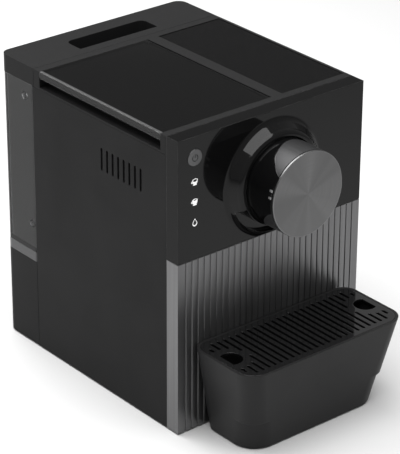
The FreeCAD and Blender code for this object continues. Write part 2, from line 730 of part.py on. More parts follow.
def knob_body():
    """Bright lobes and the web that carries the disc and turns on the pivot screw."""
    shell = ring_y(KNOB_R, SLEEVE_INNER, KNOB_FRONT + DISC_THICK + 0.4, SLEEVE_REAR)
    lobes = shell.common(lobe_volume())
    web = rod_y(0, AXIS_Z, SLEEVE_INNER + 0.2, -125.3, -123.5)
    rim = ring_y(SLEEVE_INNER + 0.2, 31.0, KNOB_FRONT + DISC_THICK, -125.2)
    shape = joined([lobes, web, rim])
    bore = rod_y(0, AXIS_Z, 4.0, -126, -123)
    sink = rod_y(0, AXIS_Z, 6.6, -126, -124.3)
    return shape.cut([bore, sink, spout_slot()])


def knob_disc():
    """Spun disc on the front of the knob, with a fine edge."""
    disc = rod_y(0, AXIS_Z, KNOB_R, KNOB_FRONT, KNOB_FRONT + DISC_THICK)
    rims = [e for e in disc.Edges if e.BoundBox.YLength < 0.01 and e.BoundBox.XLength > 60]
    disc = disc.makeFillet(0.5, rims)
    return disc.cut(rod_y(0, AXIS_Z, 30.0, KNOB_FRONT + 1.4, KNOB_FRONT + DISC_THICK + 1))


# ---------------------------------------------------------------- water tank
def tank_shell():
    """Clear tank body, open at the top, with a valve hole and two moulded bosses inside."""
    outer = plan_block(HALF, TANK_FRONT, REAR, 2.0, CORNER, TANK_BASE_TOP, CAP_BOTTOM - 0.3)
    side = HALF - TANK_WALL
    front = TANK_FRONT + TANK_WALL
    rear = REAR - TANK_WALL
    inner = plan_block(side, front, rear, 1.2, CORNER - TANK_WALL, TANK_BASE_TOP + 3, CAP_BOTTOM + 1)
    shape = outer.cut(inner)
    x = -HALF + 2.3
    eye = rod_x(128.0, 239.0, 4.6, x, x + 3.0).cut(rod_x(128.0, 239.0, 2.6, x - 1, x + 4))
    clip = rod_x(122.0, 119.0, 4.0, x, x + 5.0).cut(rod_x(122.0, 119.0, 2.2, x - 1, x + 6))
    shape = joined([shape, eye, clip])
    return shape.cut(rod_z(0, VALVE_Y, 5.4, TANK_BASE_TOP - 1, TANK_BASE_TOP + 4))


def tank_base():
    """Tinted plinth under the tank, with the socket of the water coupling."""
    outer = plan_block(HALF, TANK_FRONT, REAR, 2.0, CORNER, TANK_BOTTOM, TANK_BASE_TOP)
    wall = 3.0
    front = TANK_FRONT + wall
    inner = plan_block(HALF - wall, front, REAR - wall, 1.0, CORNER - wall, TANK_BOTTOM - 1, TANK_BASE_TOP - 2)
    ring = rod_z(0, VALVE_Y, 12.0, TANK_BOTTOM + 0.4, TANK_BASE_TOP - 1)
    shape = joined([outer.cut(inner), ring])
    shape = shape.cut(rod_z(0, VALVE_Y, 8.4, TANK_BOTTOM - 1, TANK_BASE_TOP - 2.4))
    return shape.cut(rod_z(0, VALVE_Y, 5.4, TANK_BASE_TOP - 3, TANK_BASE_TOP + 1))


def tank_valve_cage():
    """Strainer cage over the valve, standing on the tank's floor."""
    z0 = TANK_BASE_TOP + 3.0
    cage = rod_z(0, VALVE_Y, 10.0, z0, z0 + 15.0).cut(rod_z(0, VALVE_Y, 8.4, z0 - 1, z0 + 13.4))
    windows = []
    for index in range(6):
        window = box(6.0, 12.0, -2.2, 2.2, z0 + 2.5, z0 + 11.0)
        window.rotate(Vector(0, 0, 0), Vector(0, 0, 1), index * 60)
        window.translate(Vector(0, VALVE_Y, 0))
        windows.append(window)
    return cage.cut(windows)


def valve_poppet():
    """Valve plunger: a sealing head on the tank's floor and a stem that the dock's pin lifts."""
    z0 = TANK_BASE_TOP + 3.3
    head = rod_z(0, VALVE_Y, 7.4, z0, z0 + 2.0)
    stem = rod_z(0, VALVE_Y, 1.6, 88.6, z0 + 0.5)
    nub = rod_z(0, VALVE_Y, 2.0, z0 + 1.5, z0 + 4.0)
    return joined([head, stem, nub])


def valve_spring():
    """Closing spring between the cage and the plunger."""
    return placed(coil(4.0, 0.4, 2.15, 8.6), (0, VALVE_Y, TANK_BASE_TOP + 5.9))


def tank_seal():
    """Sealing ring in the tank's coupling socket."""
    return Part.makeTorus(7.35, 1.0, Vector(0, VALVE_Y, 90.3))


def dock_coupling():
    """Spigot and lifting pin of the tank's dock."""
    flange = rod_z(0, VALVE_Y, 11.0, DOCK_TOP - 3.5, DOCK_TOP - 0.2)
    spigot = rod_z(0, VALVE_Y, 6.0, DOCK_TOP - 1, 91.2).cut(rod_z(0, VALVE_Y, 4.8, DOCK_TOP - 1.5, 92))
    pin = rod_z(0, VALVE_Y, 1.5, DOCK_TOP - 1, 88.1)
    tail = rod_z(0, VALVE_Y, 4.0, DOCK_TOP - 14, DOCK_TOP - 3)
    return joined([flange, spigot, pin, tail])


CAP_SLOT_HALF = 42.4
CAP_SLOT_Y = (121.2, 142.8)


def tank_cap():
    """Lift-off cap of the tank with a finger pocket in its top."""
    outer = plan_block(HALF, CAP_FRONT, REAR, 0.6, CORNER, CAP_BOTTOM, HEIGHT)
    front = CAP_FRONT + WALL
    inner = plan_block(HALF - WALL, front, REAR - WALL, 0.5, CORNER - WALL, CAP_BOTTOM - 1, HEIGHT - WALL)
    y0 = CAP_SLOT_Y[0] - 1.8
    y1 = CAP_SLOT_Y[1] + 1.8
    cup = plan_block(CAP_SLOT_HALF + 1.8, y0, y1, 1.0, 8.0, 255.4, HEIGHT - 1)
    hole = plan_block(CAP_SLOT_HALF, CAP_SLOT_Y[0], CAP_SLOT_Y[1], 0.8, 6.5, 257.2, HEIGHT + 1)
    return joined([outer.cut(inner), cup]).cut(hole)


# ---------------------------------------------------------------- drip tray and grille
def tray_wire(z, inset=0.0, front_r=17.0):
    """Outline of the tray at a height; the sides and front lean inwards towards the ground."""
    lean = TRAY_TAPER * (TRAY_TOP - z) / (TRAY_TOP - GROUND_GAP)
    half = TRAY_HALF - lean - inset
    return plan_wire(half, TRAY_FRONT + lean + inset, TRAY_REAR - inset, front_r - inset, 14.0 - inset, z)


def tray_loft(z0, z1, inset=0.0, front_r=17.0):
    """Tapered block between two heights of the tray."""
    return Part.makeLoft([tray_wire(z0, inset, front_r), tray_wire(z1, inset, front_r)], True, True)


def drip_tray():
    """Tapered tub with a stepped foot, a ledge for the grille and a raised floor over the tongue."""
    upper = tray_loft(TRAY_STEP_Z, TRAY_TOP)
    lower = tray_loft(GROUND_GAP, TRAY_STEP_Z + 0.5, 0.0, 22.0)
    shape = upper.fuse(lower).removeSplitter()
    shape = shape.cut(tray_loft(TRAY_STEP_Z - 1, TRAY_TOP - 4.4, TRAY_WALL + 1.6))
    shape = shape.cut(tray_loft(TRAY_FLOOR + 2.4, TRAY_STEP_Z, TRAY_WALL + 1.6, 22.0))
    shape = shape.cut(tray_loft(TRAY_TOP - 4.6, TRAY_TOP + 1, TRAY_RIM))
    shape = shape.cut(tray_loft(0.5, TRAY_FLOOR, TRAY_WALL, 22.0))
    notch = box(-TONGUE_HALF - 1, TONGUE_HALF + 1, -100, TRAY_REAR + 1, 0, TONGUE_Z[1] + 1)
    posts = [rod_z(x, -131.0, 6.0, GROUND_GAP, TRAY_FLOOR + 1) for x in (-55.0, 55.0)]
    return joined([shape.cut(notch)] + posts)


def tray_feet():
    """Two low pads under the tray's front corners."""
    feet = []
    outline = tray_loft(0.0, GROUND_GAP, -0.6, 22.6)
    for x in (-56.0, 56.0):
        feet.append(rod_z(x, -129.5, 13.0, 0.0, GROUND_GAP).common(outline))
    return Part.Compound(feet)


def slot_spans(x):
    """Y spans of one grille slot: shorter in the outer rows and broken round the finger holes."""
    near = FRONT - 8.6
    far = FRONT - 69.0
    if abs(x) > 75:
        near = FRONT - 14.7
        far = FRONT - 62.6
    reach = 17.2
    offset = abs(abs(x) - (FINGER_X + 0.7))
    if offset >= reach:
        return [(far, near)]
    clear = math.sqrt(reach ** 2 - offset ** 2)
    return [(far, FINGER_Y - clear), (FINGER_Y + clear, near)]


def finger_hole(side):
    """D-shaped finger hole of the grille."""
    hole = rod_z(side * FINGER_X, FINGER_Y, FINGER_R, 70, 90)
    limit = box(-FINGER_FLAT, FINGER_FLAT, -170, -70, 60, 100)
    return hole.common(limit)


def drip_grille():
    """Gloss grille plate with long slots, two finger holes and a stiffening skirt."""
    inset = TRAY_RIM + 0.35
    z0 = TRAY_TOP - 4.2
    plate = tray_loft(z0, TRAY_TOP, inset)
    plate = plate.cut(tray_loft(z0 - 1, TRAY_TOP - 2.2, inset + 2.0))
    radius = SLOT_WIDTH / 2
    cuts = [finger_hole(-1), finger_hole(1)]
    for index in range(SLOT_COUNT):
        x = (index - (SLOT_COUNT - 1) / 2) * RIB_PITCH
        for y0, y1 in slot_spans(x):
            cuts.append(box(x - radius, x + radius, y0 + radius, y1 - radius, 70, 90))
            cuts.append(rod_z(x, y0 + radius, radius, 70, 90))
            cuts.append(rod_z(x, y1 - radius, radius, 70, 90))
    return plate.cut(cuts)


# ---------------------------------------------------------------- water path and electrics inside
PUMP_X = -62.0
PUMP_Z = 44.0


def water_pump():
    """Vibration pump: coil frame with a round inlet end and a pressure end."""
    frame = box(PUMP_X - 21, PUMP_X + 21, 0.0, 46.0, PUMP_Z - 21, PUMP_Z + 21)
    inlet = rod_y(PUMP_X, PUMP_Z, 11.0, 46.0, 72.0)
    nipple = rod_y(PUMP_X, PUMP_Z, 3.5, 72.0, 84.0)
    outlet = rod_y(PUMP_X, PUMP_Z, 9.0, -22.0, 0.0)
    elbow = rod_y(PUMP_X, PUMP_Z, 3.5, -32.0, -22.0)
    return joined([frame, inlet, nipple, outlet, elbow])


def pump_mounts():
    """Two rubber cradles that hold the pump off the base plate."""
    mounts = []
    for y, radius in ((-12.0, 9.0), (58.0, 11.0)):
        block = box(PUMP_X - 16, PUMP_X + 16, y - 5, y + 5, 4.5, PUMP_Z + 4)
        mounts.append(block.cut(rod_y(PUMP_X, PUMP_Z, radius, y - 6, y + 6)))
    return Part.Compound(mounts)


def thermoblock():
    """Cast heater block behind the brew unit, with its inlet and outlet stubs."""
    block = box(-34.0, 34.0, 10.0, 84.0, 168.0, 202.0)
    edges = [e for e in block.Edges if e.BoundBox.YLength > 50]
    block = block.makeFillet(7.0, edges)
    inlet = rod_z(-20.0, 30.0, 3.5, 158.0, 170.0)
    outlet = rod_y(0.0, 190.0, 3.5, 2.0, 12.0)
    sensor = rod_z(14.0, 60.0, 5.0, 201.0, 208.0)
    return joined([block, inlet, outlet, sensor])


def thermoblock_posts():
    """Two posts that stand the heater block on the base plate."""
    posts = []
    for y in (18.0, 72.0):
        plate = box(-37.0, 37.0, y - 4, y + 4, 165.5, 168.0)
        legs = [box(x, x + 3.0, y - 4, y + 4, 4.5, 166.0) for x in (-37.0, 34.0)]
        posts.append(joined([plate] + legs))
    return Part.Compound(posts)


FLOW_METER = (10.0, 98.0, 60.0)


def flow_meter():
    """Flow meter between the tank's dock and the pump."""
    x, y, z = FLOW_METER
    body = rod_z(x, y, 12.0, z - 7, z + 7)
    arms = joined([rod_x(y, z, 3.5, x - 22, x + 22), rod_z(x, y, 8.0, z - 9, z + 9)])
    return joined([body, arms])


HOSE_R = 3.4
TUBE_R = 2.6


def inlet_hose():
    """Soft hose from the tank's dock to the flow meter."""
    x, y, z = FLOW_METER
    route = [
        (0, VALVE_Y, DOCK_TOP - 14),
        (0, VALVE_Y, z),
        (x + 34, VALVE_Y, z),
        (x + 34, y, z),
        (x + 22, y, z),
    ]
    return pipe(route, HOSE_R)


def pump_hose():
    """Soft hose from the flow meter to the pump's inlet."""
    x, y, z = FLOW_METER
    return pipe([(x - 22, y, z), (PUMP_X, y, z), (PUMP_X, 92.0, PUMP_Z), (PUMP_X, 84.0, PUMP_Z)], HOSE_R)


def brew_hoses():
    """Pressure tubes from the pump to the heater block and on to the piston's neck."""
    rising = [
        (PUMP_X, -32.0, PUMP_Z),
        (PUMP_X, -38.0, PUMP_Z),
        (PUMP_X, -38.0, 110.0),
        (PUMP_X, 30.0, 150.0),
        (-20.0, 30.0, 150.0),
        (-20.0, 30.0, 158.0),
    ]
    across = [
        (0.0, 2.0, 190.0),
        (0.0, -3.0, 190.0),
        (0.0, -3.0, AXIS_Z),
        (0.0, SOCKET_REAR + 8.0, AXIS_Z),
    ]
    return Part.Compound([pipe(rising, TUBE_R), pipe(across, TUBE_R)])


def mains_board():
    """Mains board on two posts, with its relay, capacitor and terminal block."""
    board = box(56.0, 94.0, -40.0, 50.0, 20.0, 21.6)
    relay = box(60.0, 76.0, -34.0, -18.0, 21.0, 38.0)
    capacitor = rod_z(84.0, -20.0, 7.0, 21.0, 42.0)
    terminals = box(60.0, 90.0, 30.0, 44.0, 21.0, 34.0)
    posts = [rod_z(75.0, y, 3.0, 4.5, 20.5) for y in (-30.0, 40.0)]
    return joined([board, relay, capacitor, terminals] + posts)


# ---------------------------------------------------------------- writing the parts
PARTS = {
    "base_plate": base_plate,
    "base_ribs": base_ribs,
    "tray_tongue": tray_tongue,
    "machine_feet": machine_feet,
    "base_screws": base_screws,
    "left_side_panel": left_side_panel,
    "right_side_panel": right_side_panel,
    "rear_lower_cover": rear_lower_cover,
    "rear_cover_screws": rear_cover_screws,
    "cord_gland": cord_gland,
    "rear_bulkhead": rear_bulkhead,
    "top_frame": top_frame,
    "top_right_panel": top_right_panel,
    "storage_tray": storage_tray,
    "storage_lid": storage_lid,
    "lid_hinge_pins": lid_hinge_pins,
    "front_fascia": front_fascia,
    "ribbed_front_panel": ribbed_front_panel,
    "small_cup_light": small_cup_light,
    "large_cup_light": large_cup_light,
    "drop_light": drop_light,
    "power_button": power_button,
    "button_spring": button_spring,
    "power_switch": power_switch,
    "control_board": control_board,
    "brew_socket": brew_socket,
    "brew_screws": brew_screws,
    "brew_frame": brew_frame,
    "brew_head": brew_head,
    "brew_gasket": brew_gasket,
    "brew_needles": brew_needles,
    "holder_barrel": holder_barrel,
    "holder_front": holder_front,
    "capsule_basket": capsule_basket,
    "holder_seal": holder_seal,
    "spout": spout,
    "knob_pivot_screw": knob_pivot_screw,
    "knob_sleeve": knob_sleeve,
    "knob_body": knob_body,
    "knob_disc": knob_disc,
    "tank_shell": tank_shell,
    "tank_base": tank_base,
    "tank_valve_cage": tank_valve_cage,
    "valve_poppet": valve_poppet,
    "valve_spring": valve_spring,
    "tank_seal": tank_seal,
    "dock_coupling": dock_coupling,
    "tank_cap": tank_cap,
    "drip_tray": drip_tray,
    "tray_feet": tray_feet,
    "drip_grille": drip_grille,
    "water_pump": water_pump,
    "pump_mounts": pump_mounts,
    "thermoblock": thermoblock,
    "thermoblock_posts": thermoblock_posts,
    "flow_meter": flow_meter,
    "inlet_hose": inlet_hose,
    "pump_hose": pump_hose,
    "brew_hoses": brew_hoses,
    "mains_board": mains_board,
}


def main():
    """Build every part and write its STEP file."""
    os.makedirs("parts", exist_ok=True)
    for name, build in PARTS.items():
        shape = build()
        solids = shape.Solids
        print(name, len(solids), "solids", shape.isValid(), round(shape.Volume / 1000.0, 2), "cm3")
        shape.exportStep(os.path.join("parts", name + ".step"))


if __name__ == "__main__":
    main()
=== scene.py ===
"""Pod coffee machine: finishes, fine detail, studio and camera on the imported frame.

Metres, +Z up, the front faces -Y, origin on the ground under the middle of the machine.
"""

from __future__ import annotations

import sys
import logging
import math
from collections.abc import Iterable, Sequence
from dataclasses import dataclass
from enum import Enum

import bmesh
import bpy
from mathutils import Matrix, Vector


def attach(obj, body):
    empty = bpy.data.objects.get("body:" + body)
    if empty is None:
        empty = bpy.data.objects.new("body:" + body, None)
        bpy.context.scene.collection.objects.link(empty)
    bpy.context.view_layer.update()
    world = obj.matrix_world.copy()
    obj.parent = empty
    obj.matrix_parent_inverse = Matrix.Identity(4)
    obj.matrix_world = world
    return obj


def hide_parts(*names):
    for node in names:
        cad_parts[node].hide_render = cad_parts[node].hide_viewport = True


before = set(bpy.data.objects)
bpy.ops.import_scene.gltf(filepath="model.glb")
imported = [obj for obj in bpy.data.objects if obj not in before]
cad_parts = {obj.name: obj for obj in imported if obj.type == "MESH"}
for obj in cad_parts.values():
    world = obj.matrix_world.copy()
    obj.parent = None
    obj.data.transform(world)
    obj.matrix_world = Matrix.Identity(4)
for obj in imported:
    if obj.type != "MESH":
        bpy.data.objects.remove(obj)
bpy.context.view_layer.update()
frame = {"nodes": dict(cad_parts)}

LOG = logging.getLogger("pod_machine")
Colour = tuple[float, float, float]
Point = tuple[float, float, float]
Outline = list[tuple[float, float]]
Socket = bpy.types.NodeSocket

MM = 0.001
AXIS = Vector((0.0, 0.0, 0.211))
FRONT_FACE = -0.0835
BUTTON_X = -0.0824
DUST: Colour = (0.35, 0.34, 0.33)
# Near-white of the painted highlight on grazing rims of clear and smoked plastic.
EDGE_HIGHLIGHT: Colour = (0.9, 0.9, 0.9)


class Body(str, Enum):
    """The bodies that a new piece may ride on."""

    MACHINE = "machine"
    BUTTON = "button"
    KNOB = "knob"


class Grain(Enum):
    """Direction in which a metal face was brushed, as the stretch of its lines."""

    ALONG_X = (0.02, 1.0, 1.0)
    ALONG_Y = (1.0, 0.02, 1.0)
    ALONG_Z = (1.0, 1.0, 0.02)


def scaled(colour: Colour, factor: float, lift: float = 0.0) -> Colour:
    """Multiply a colour and lift it, up to white."""
    return tuple(min(1.0, factor * part + lift) for part in colour)


class Graph:
    """Short calls for filling one node tree."""

    def __init__(self, tree: bpy.types.NodeTree) -> None:
        """Keep the tree that the nodes go into."""
        self.tree = tree

    def add(self, kind: str, inputs: dict | None = None, **settings: object) -> bpy.types.Node:
        """Add a node.

        Args:
            kind: The node's type name.
            inputs: Values or sockets by input name or index.
            settings: Properties of the node itself.

        Returns:
            The new node.
        """
        node = self.tree.nodes.new(kind)
        for name, value in settings.items():
            setattr(node, name, value)
        self.give(node, inputs or {})
        return node

    def give(self, node: bpy.types.Node, inputs: dict) -> None:
        """Set or link inputs of a node.

        Args:
            node: The node.
            inputs: Values or sockets by input name or index.
        """
        for key, value in inputs.items():
            if isinstance(value, Socket):
                self.tree.links.new(value, node.inputs[key])
            else:
                node.inputs[key].default_value = value

    def math(self, operation: str, *values: object, clamp: bool = False) -> Socket:
        """Add a Math node and return its output."""
        settings = {"operation": operation, "use_clamp": clamp}
        return self.add("ShaderNodeMath", dict(enumerate(values)), **settings).outputs[0]

    def vector(self, operation: str, *values: object) -> bpy.types.Node:
        """Add a Vector Math node."""
        return self.add("ShaderNodeVectorMath", dict(enumerate(values)), operation=operation)

    def join(self, x: object = 0.0, y: object = 0.0, z: object = 0.0) -> Socket:
        """Make a vector from three values."""
        return self.add("ShaderNodeCombineXYZ", {0: x, 1: y, 2: z}).outputs[0]

    def split(self, vector: Socket) -> Sequence[Socket]:
        """Take a vector apart into X, Y and Z."""
        return self.add("ShaderNodeSeparateXYZ", {0: vector}).outputs

    def ramp(self, value: Socket, span: tuple[float, float], out: tuple[float, float] = (0.0, 1.0)) -> Socket:
        """Map a value from one span to another, and hold it there.

        Args:
            value: The value.
            span: Where it starts and ends.
            out: What it becomes there.

        Returns:
            The mapped value.
        """
        ends = {1: span[0], 2: span[1], 3: out[0], 4: out[1]}
        return self.add("ShaderNodeMapRange", {0: value} | ends).outputs[0]

    def noise(self, where: Socket, scale: object, detail: float, distortion: float = 0.0) -> Socket:
        """Add a noise pattern.

        Args:
            where: Place on the surface.
            scale: Features in a metre.
            detail: Finer layers.
            distortion: How far the pattern is twisted.

        Returns:
            The pattern's value.
        """
        inputs = {"Vector": where, "Scale": scale, "Detail": detail, "Distortion": distortion}
        return self.add("ShaderNodeTexNoise", inputs).outputs[0]

    def bump(self, strength: float, distance: float, height: Socket, normal: Socket) -> Socket:
        """Raise a surface's normal by a height.

        Args:
            strength: Share of the effect.
            distance: Depth of the height, in metres.
            height: The height's pattern.
            normal: The normal to start from.

        Returns:
            The new normal.
        """
        inputs = {"Strength": strength, "Distance": distance, "Height": height, "Normal": normal}
        return self.add("ShaderNodeBump", inputs).outputs[0]

    def blend(self, factor: object, first: object, second: object) -> Socket:
        """Mix two colours.

        Args:
            factor: Value or socket that chooses between them.
            first: Colour at factor 0.
            second: Colour at factor 1.

        Returns:
            The mixed colour's socket.
        """
        inputs = {0: factor, 6: self._rgba(first), 7: self._rgba(second)}
        return self.add("ShaderNodeMix", inputs, data_type="RGBA").outputs[2]

    @staticmethod
    def _rgba(value: object) -> object:
        """Give a colour its fourth value, and pass a socket through."""
        return value if isinstance(value, Socket) else (*value, 1.0)


class Effects:
    """Shader groups that several finishes share, each built the first time it is asked for."""

    EDGE_GAIN = 5.0
    SPECK_SHARE = 0.68

    def __init__(self) -> None:
        """Start with no group built."""
        self._trees: dict[str, bpy.types.NodeTree] = {}

    def place(self, graph: Graph, name: str, **inputs: object) -> dict[str, Socket]:
        """Put a group into a material.

        Args:
            graph: The material's graph.
            name: One of rounded_edges, fine_grain, handling, drawn_lines, turned_lines.
            inputs: Values or sockets by input name.

        Returns:
            The group's outputs by name.
        """
        if name not in self._trees:
            self._trees[name] = getattr(self, "_" + name)()
        node = graph.add("ShaderNodeGroup", node_tree=self._trees[name])
        graph.give(node, inputs)
        return {socket.name: socket for socket in node.outputs}

    @staticmethod
    def _start(
        name: str, inputs: dict[str, str], outputs: Iterable[str]
    ) -> tuple[Graph, dict[str, Socket], bpy.types.Node]:
        """Make an empty group.

        Args:
            name: The group's name.
            inputs: Socket kinds by input name.
            outputs: Output names, all plain values but Normal.

        Returns:
            Its graph, its input sockets by name and its output node.
        """
        tree = bpy.data.node_groups.new(name, "ShaderNodeTree")
        for key, kind in inputs.items():
            tree.interface.new_socket(key, in_out="INPUT", socket_type="NodeSocket" + kind)
        for key in outputs:
            kind = "NodeSocketVector" if key == "Normal" else "NodeSocketFloat"
            tree.interface.new_socket(key, in_out="OUTPUT", socket_type=kind)
        graph = Graph(tree)
        start = graph.add("NodeGroupInput")
        return graph, {s.name: s for s in start.outputs if s.name}, graph.add("NodeGroupOutput")

    def _rounded_edges(self) -> bpy.types.NodeTree:
        """Soft edge normal, and a mask of the edges, used both as polish worn by hands and cloths and as a
        painted edge highlight.

        Returns:
            The group.
        """
        inputs = {"Vector": "Vector", "Radius": "Float"}
        graph, given, end = self._start("rounded_edges", inputs, ["Normal", "Wear And Highlight"])
        soft = graph.add("ShaderNodeBevel", {"Radius": given["Radius"]}, samples=4).outputs[0]
        flat = graph.add("ShaderNodeNewGeometry").outputs["Normal"]
        turn = graph.math("SUBTRACT", 1.0, graph.vector("DOT_PRODUCT", soft, flat).outputs["Value"])
        edge = graph.math("MULTIPLY", turn, self.EDGE_GAIN, clamp=True)
        patches = graph.ramp(graph.noise(given["Vector"], 60.0, 4.0), (0.35, 0.65), (0.25, 1.0))
        # The edge mask lightens edges partly as real polish and partly as a painted highlight line.
        graph.give(end, {"Normal": soft, "Wear And Highlight": graph.math("MULTIPLY", edge, patches)})
        return graph.tree

    def _fine_grain(self) -> bpy.types.NodeTree:
        """Even, pebbled grain of an etched mould.

        Returns:
            The group.
        """
        inputs = {"Vector": "Vector", "Scale": "Float"}
        graph, given, end = self._start("fine_grain", inputs, ["Height", "Tone"])
        cells = graph.add("ShaderNodeTexVoronoi", dict(given), feature="SMOOTH_F1").outputs[0]
        soft = graph.noise(given["Vector"], given["Scale"], 3.0)
        graph.give(end, {"Height": graph.math("ADD", cells, soft), "Tone": soft})
        return graph.tree

    def _handling(self) -> bpy.types.NodeTree:
        """Faint smudges everywhere, and dust where a face looks up.

        Returns:
            The group.
        """
        inputs = {"Vector": "Vector", "Scale": "Float"}
        graph, given, end = self._start("handling", inputs, ["Smudge", "Dust"])
        smudge = graph.ramp(graph.noise(given["Vector"], given["Scale"], 5.0, 0.6), (0.3, 0.75))
        specks = graph.noise(given["Vector"], 1800.0, 1.0)
        fleck = graph.math("GREATER_THAN", specks, self.SPECK_SHARE)
        facing = graph.split(graph.add("ShaderNodeNewGeometry").outputs["Normal"])
        upward = graph.math("MULTIPLY", facing[2], 1.0, clamp=True)
        graph.give(end, {"Smudge": smudge, "Dust": graph.math("MULTIPLY", fleck, upward)})
        return graph.tree

    def _drawn_lines(self) -> bpy.types.NodeTree:
        """Straight brushing, as noise stretched along the brush's path.

        Returns:
            The group.
        """
        inputs = {"Vector": "Vector", "Stretch": "Vector"}
        graph, given, end = self._start("drawn_lines", inputs, ["Height", "Tone"])
        long = graph.vector("MULTIPLY", given["Vector"], given["Stretch"]).outputs[0]
        fine = graph.noise(long, 1600.0, 4.0)
        broad = graph.noise(long, 260.0, 3.0)
        graph.give(end, {"Height": graph.math("ADD", fine, broad), "Tone": broad})
        return graph.tree

    def _turned_lines(self) -> bpy.types.NodeTree:
        """Rings left by a lathe about the Y axis of the given vector, their radius and soft sectors of
        painted sheen.

        Returns:
            The group.
        """
        outputs = ["Height", "Tone", "Ring", "Painted Sheen"]
        graph, given, end = self._start("turned_lines", {"Vector": "Vector"}, outputs)
        place = graph.split(given["Vector"])
        flat = graph.join(place[0], place[2])
        radius = graph.vector("LENGTH", flat).outputs["Value"]
        line = graph.join(radius)
        way = graph.vector("NORMALIZE", flat).outputs[0]
        sheen_sector = graph.ramp(graph.noise(way, 1.6, 1.0), (0.38, 0.62))
        rings = {"Height": graph.noise(line, 5200.0, 2.0), "Tone": graph.noise(line, 420.0, 3.0)}
        graph.give(end, rings | {"Ring": radius, "Painted Sheen": sheen_sector})
        return graph.tree


EFFECTS = Effects()


def new_material(name: str) -> tuple[bpy.types.Material, Graph, bpy.types.Node, Socket]:
    """Start a material.

    Args:
        name: The finish's name.

    Returns:
        The material, its graph, its main shader and the object coordinates.
    """
    material = bpy.data.materials.new(name)
    material.use_nodes = True
    graph = Graph(material.node_tree)
    shader = material.node_tree.nodes["Principled BSDF"]
    return material, graph, shader, graph.add("ShaderNodeTexCoord").outputs["Object"]


@dataclass(frozen=True)
class Moulded:
    """Moulded plastic or rubber with the grain of its tool, edges lightened partly as polish and partly as a
    painted highlight, smudges and dust.

    The clear coat covers the sheet only, given as its half width and the height of its top edge; the
    returns beside the sheet carry half of it.
    """

    name: str
    colour: Colour
    roughness: float = 0.5
    specular: float = 0.4
    grain: float = 2200.0
    depth: float = 0.25
    edge: float = 0.0005
    wear_and_highlight: float = 0.25
    smudge: float = 0.08
    dust: float = 0.1
    coat: float = 0.0
    coat_roughness: float = 0.04
    sheet: tuple[float, float] = (1.0, 1.0)
    edge_highlight_lift: float = 0.012

    def material(self) -> bpy.types.Material:
        """Build the finish.

        Returns:
            The material.
        """
        material, graph, shader, where = new_material(self.name)
        rim = EFFECTS.place(graph, "rounded_edges", Vector=where, Radius=self.edge)
        grain = EFFECTS.place(graph, "fine_grain", Vector=where, Scale=self.grain)
        use = EFFECTS.place(graph, "handling", Vector=where, Scale=22.0)
        worn_and_highlit = graph.math("MULTIPLY", rim["Wear And Highlight"], self.wear_and_highlight)
        dusty = graph.math("MULTIPLY", use["Dust"], self.dust)
        base = graph.blend(grain["Tone"], scaled(self.colour, 0.82), scaled(self.colour, 1.18))
        # Edges are lifted towards a lighter tone, partly as polish worn by hands and partly as a painted
        # highlight line.
        base = graph.blend(worn_and_highlit, base, scaled(self.colour, 2.2, self.edge_highlight_lift))
        base = graph.blend(dusty, base, DUST)
        rough = graph.math("MULTIPLY_ADD", use["Smudge"], self.smudge, self.roughness)
        rough = graph.math("MULTIPLY_ADD", rim["Wear And Highlight"], -0.12, rough, clamp=True)
        place = graph.split(where)
        across = graph.math("LESS_THAN", graph.math("ABSOLUTE", place[0]), self.sheet[0])
        under = graph.math("LESS_THAN", place[2], self.sheet[1])
        covered = graph.math("MULTIPLY", graph.math("MULTIPLY_ADD", across, 0.5, 0.5), under)
        normal = graph.bump(self.depth, 0.05 * MM, grain["Height"], rim["Normal"])
        graph.give(shader, {"Specular IOR Level": self.specular, "Coat Roughness": self.coat_roughness})
        graph.give(shader, {"Base Color": base, "Roughness": rough, "Normal": normal})
        graph.give(shader, {"Coat Weight": graph.math("MULTIPLY", covered, self.coat)})
        return material


@dataclass(frozen=True)
class Brushed:
    """Metal brushed in one direction."""

    name: str
    colour: Colour
    grain: Grain
    roughness: float = 0.35
    metallic: float = 1.0
    depth: float = 0.12
    edge: float = 0.0003
    contrast: float = 0.25

    def material(self) -> bpy.types.Material:
        """Build the finish.

        Returns:
            The material.
        """
        material, graph, shader, where = new_material(self.name)
        rim = EFFECTS.place(graph, "rounded_edges", Vector=where, Radius=self.edge)
        lines = EFFECTS.place(graph, "drawn_lines", Vector=where, Stretch=self.grain.value)
        use = EFFECTS.place(graph, "handling", Vector=where, Scale=15.0)
        low = scaled(self.colour, 1.0 - self.contrast)
        high = scaled(self.colour, 1.0 + self.contrast)
        base = graph.blend(lines["Tone"], low, high)
        # Edges are lightened, partly as polish wear and partly as a painted highlight.
        worn_and_highlit = graph.math("MULTIPLY", rim["Wear And Highlight"], 0.4)
        base = graph.blend(worn_and_highlit, base, scaled(self.colour, 1.7))
        rough = graph.math("MULTIPLY_ADD", lines["Tone"], 0.12, self.roughness - 0.06)
        rough = graph.math("MULTIPLY_ADD", use["Smudge"], 0.05, rough, clamp=True)
        normal = graph.bump(self.depth, 0.04 * MM, lines["Height"], rim["Normal"])
        graph.give(shader, {"Metallic": self.metallic})
        graph.give(shader, {"Base Color": base, "Roughness": rough, "Normal": normal})
        return material


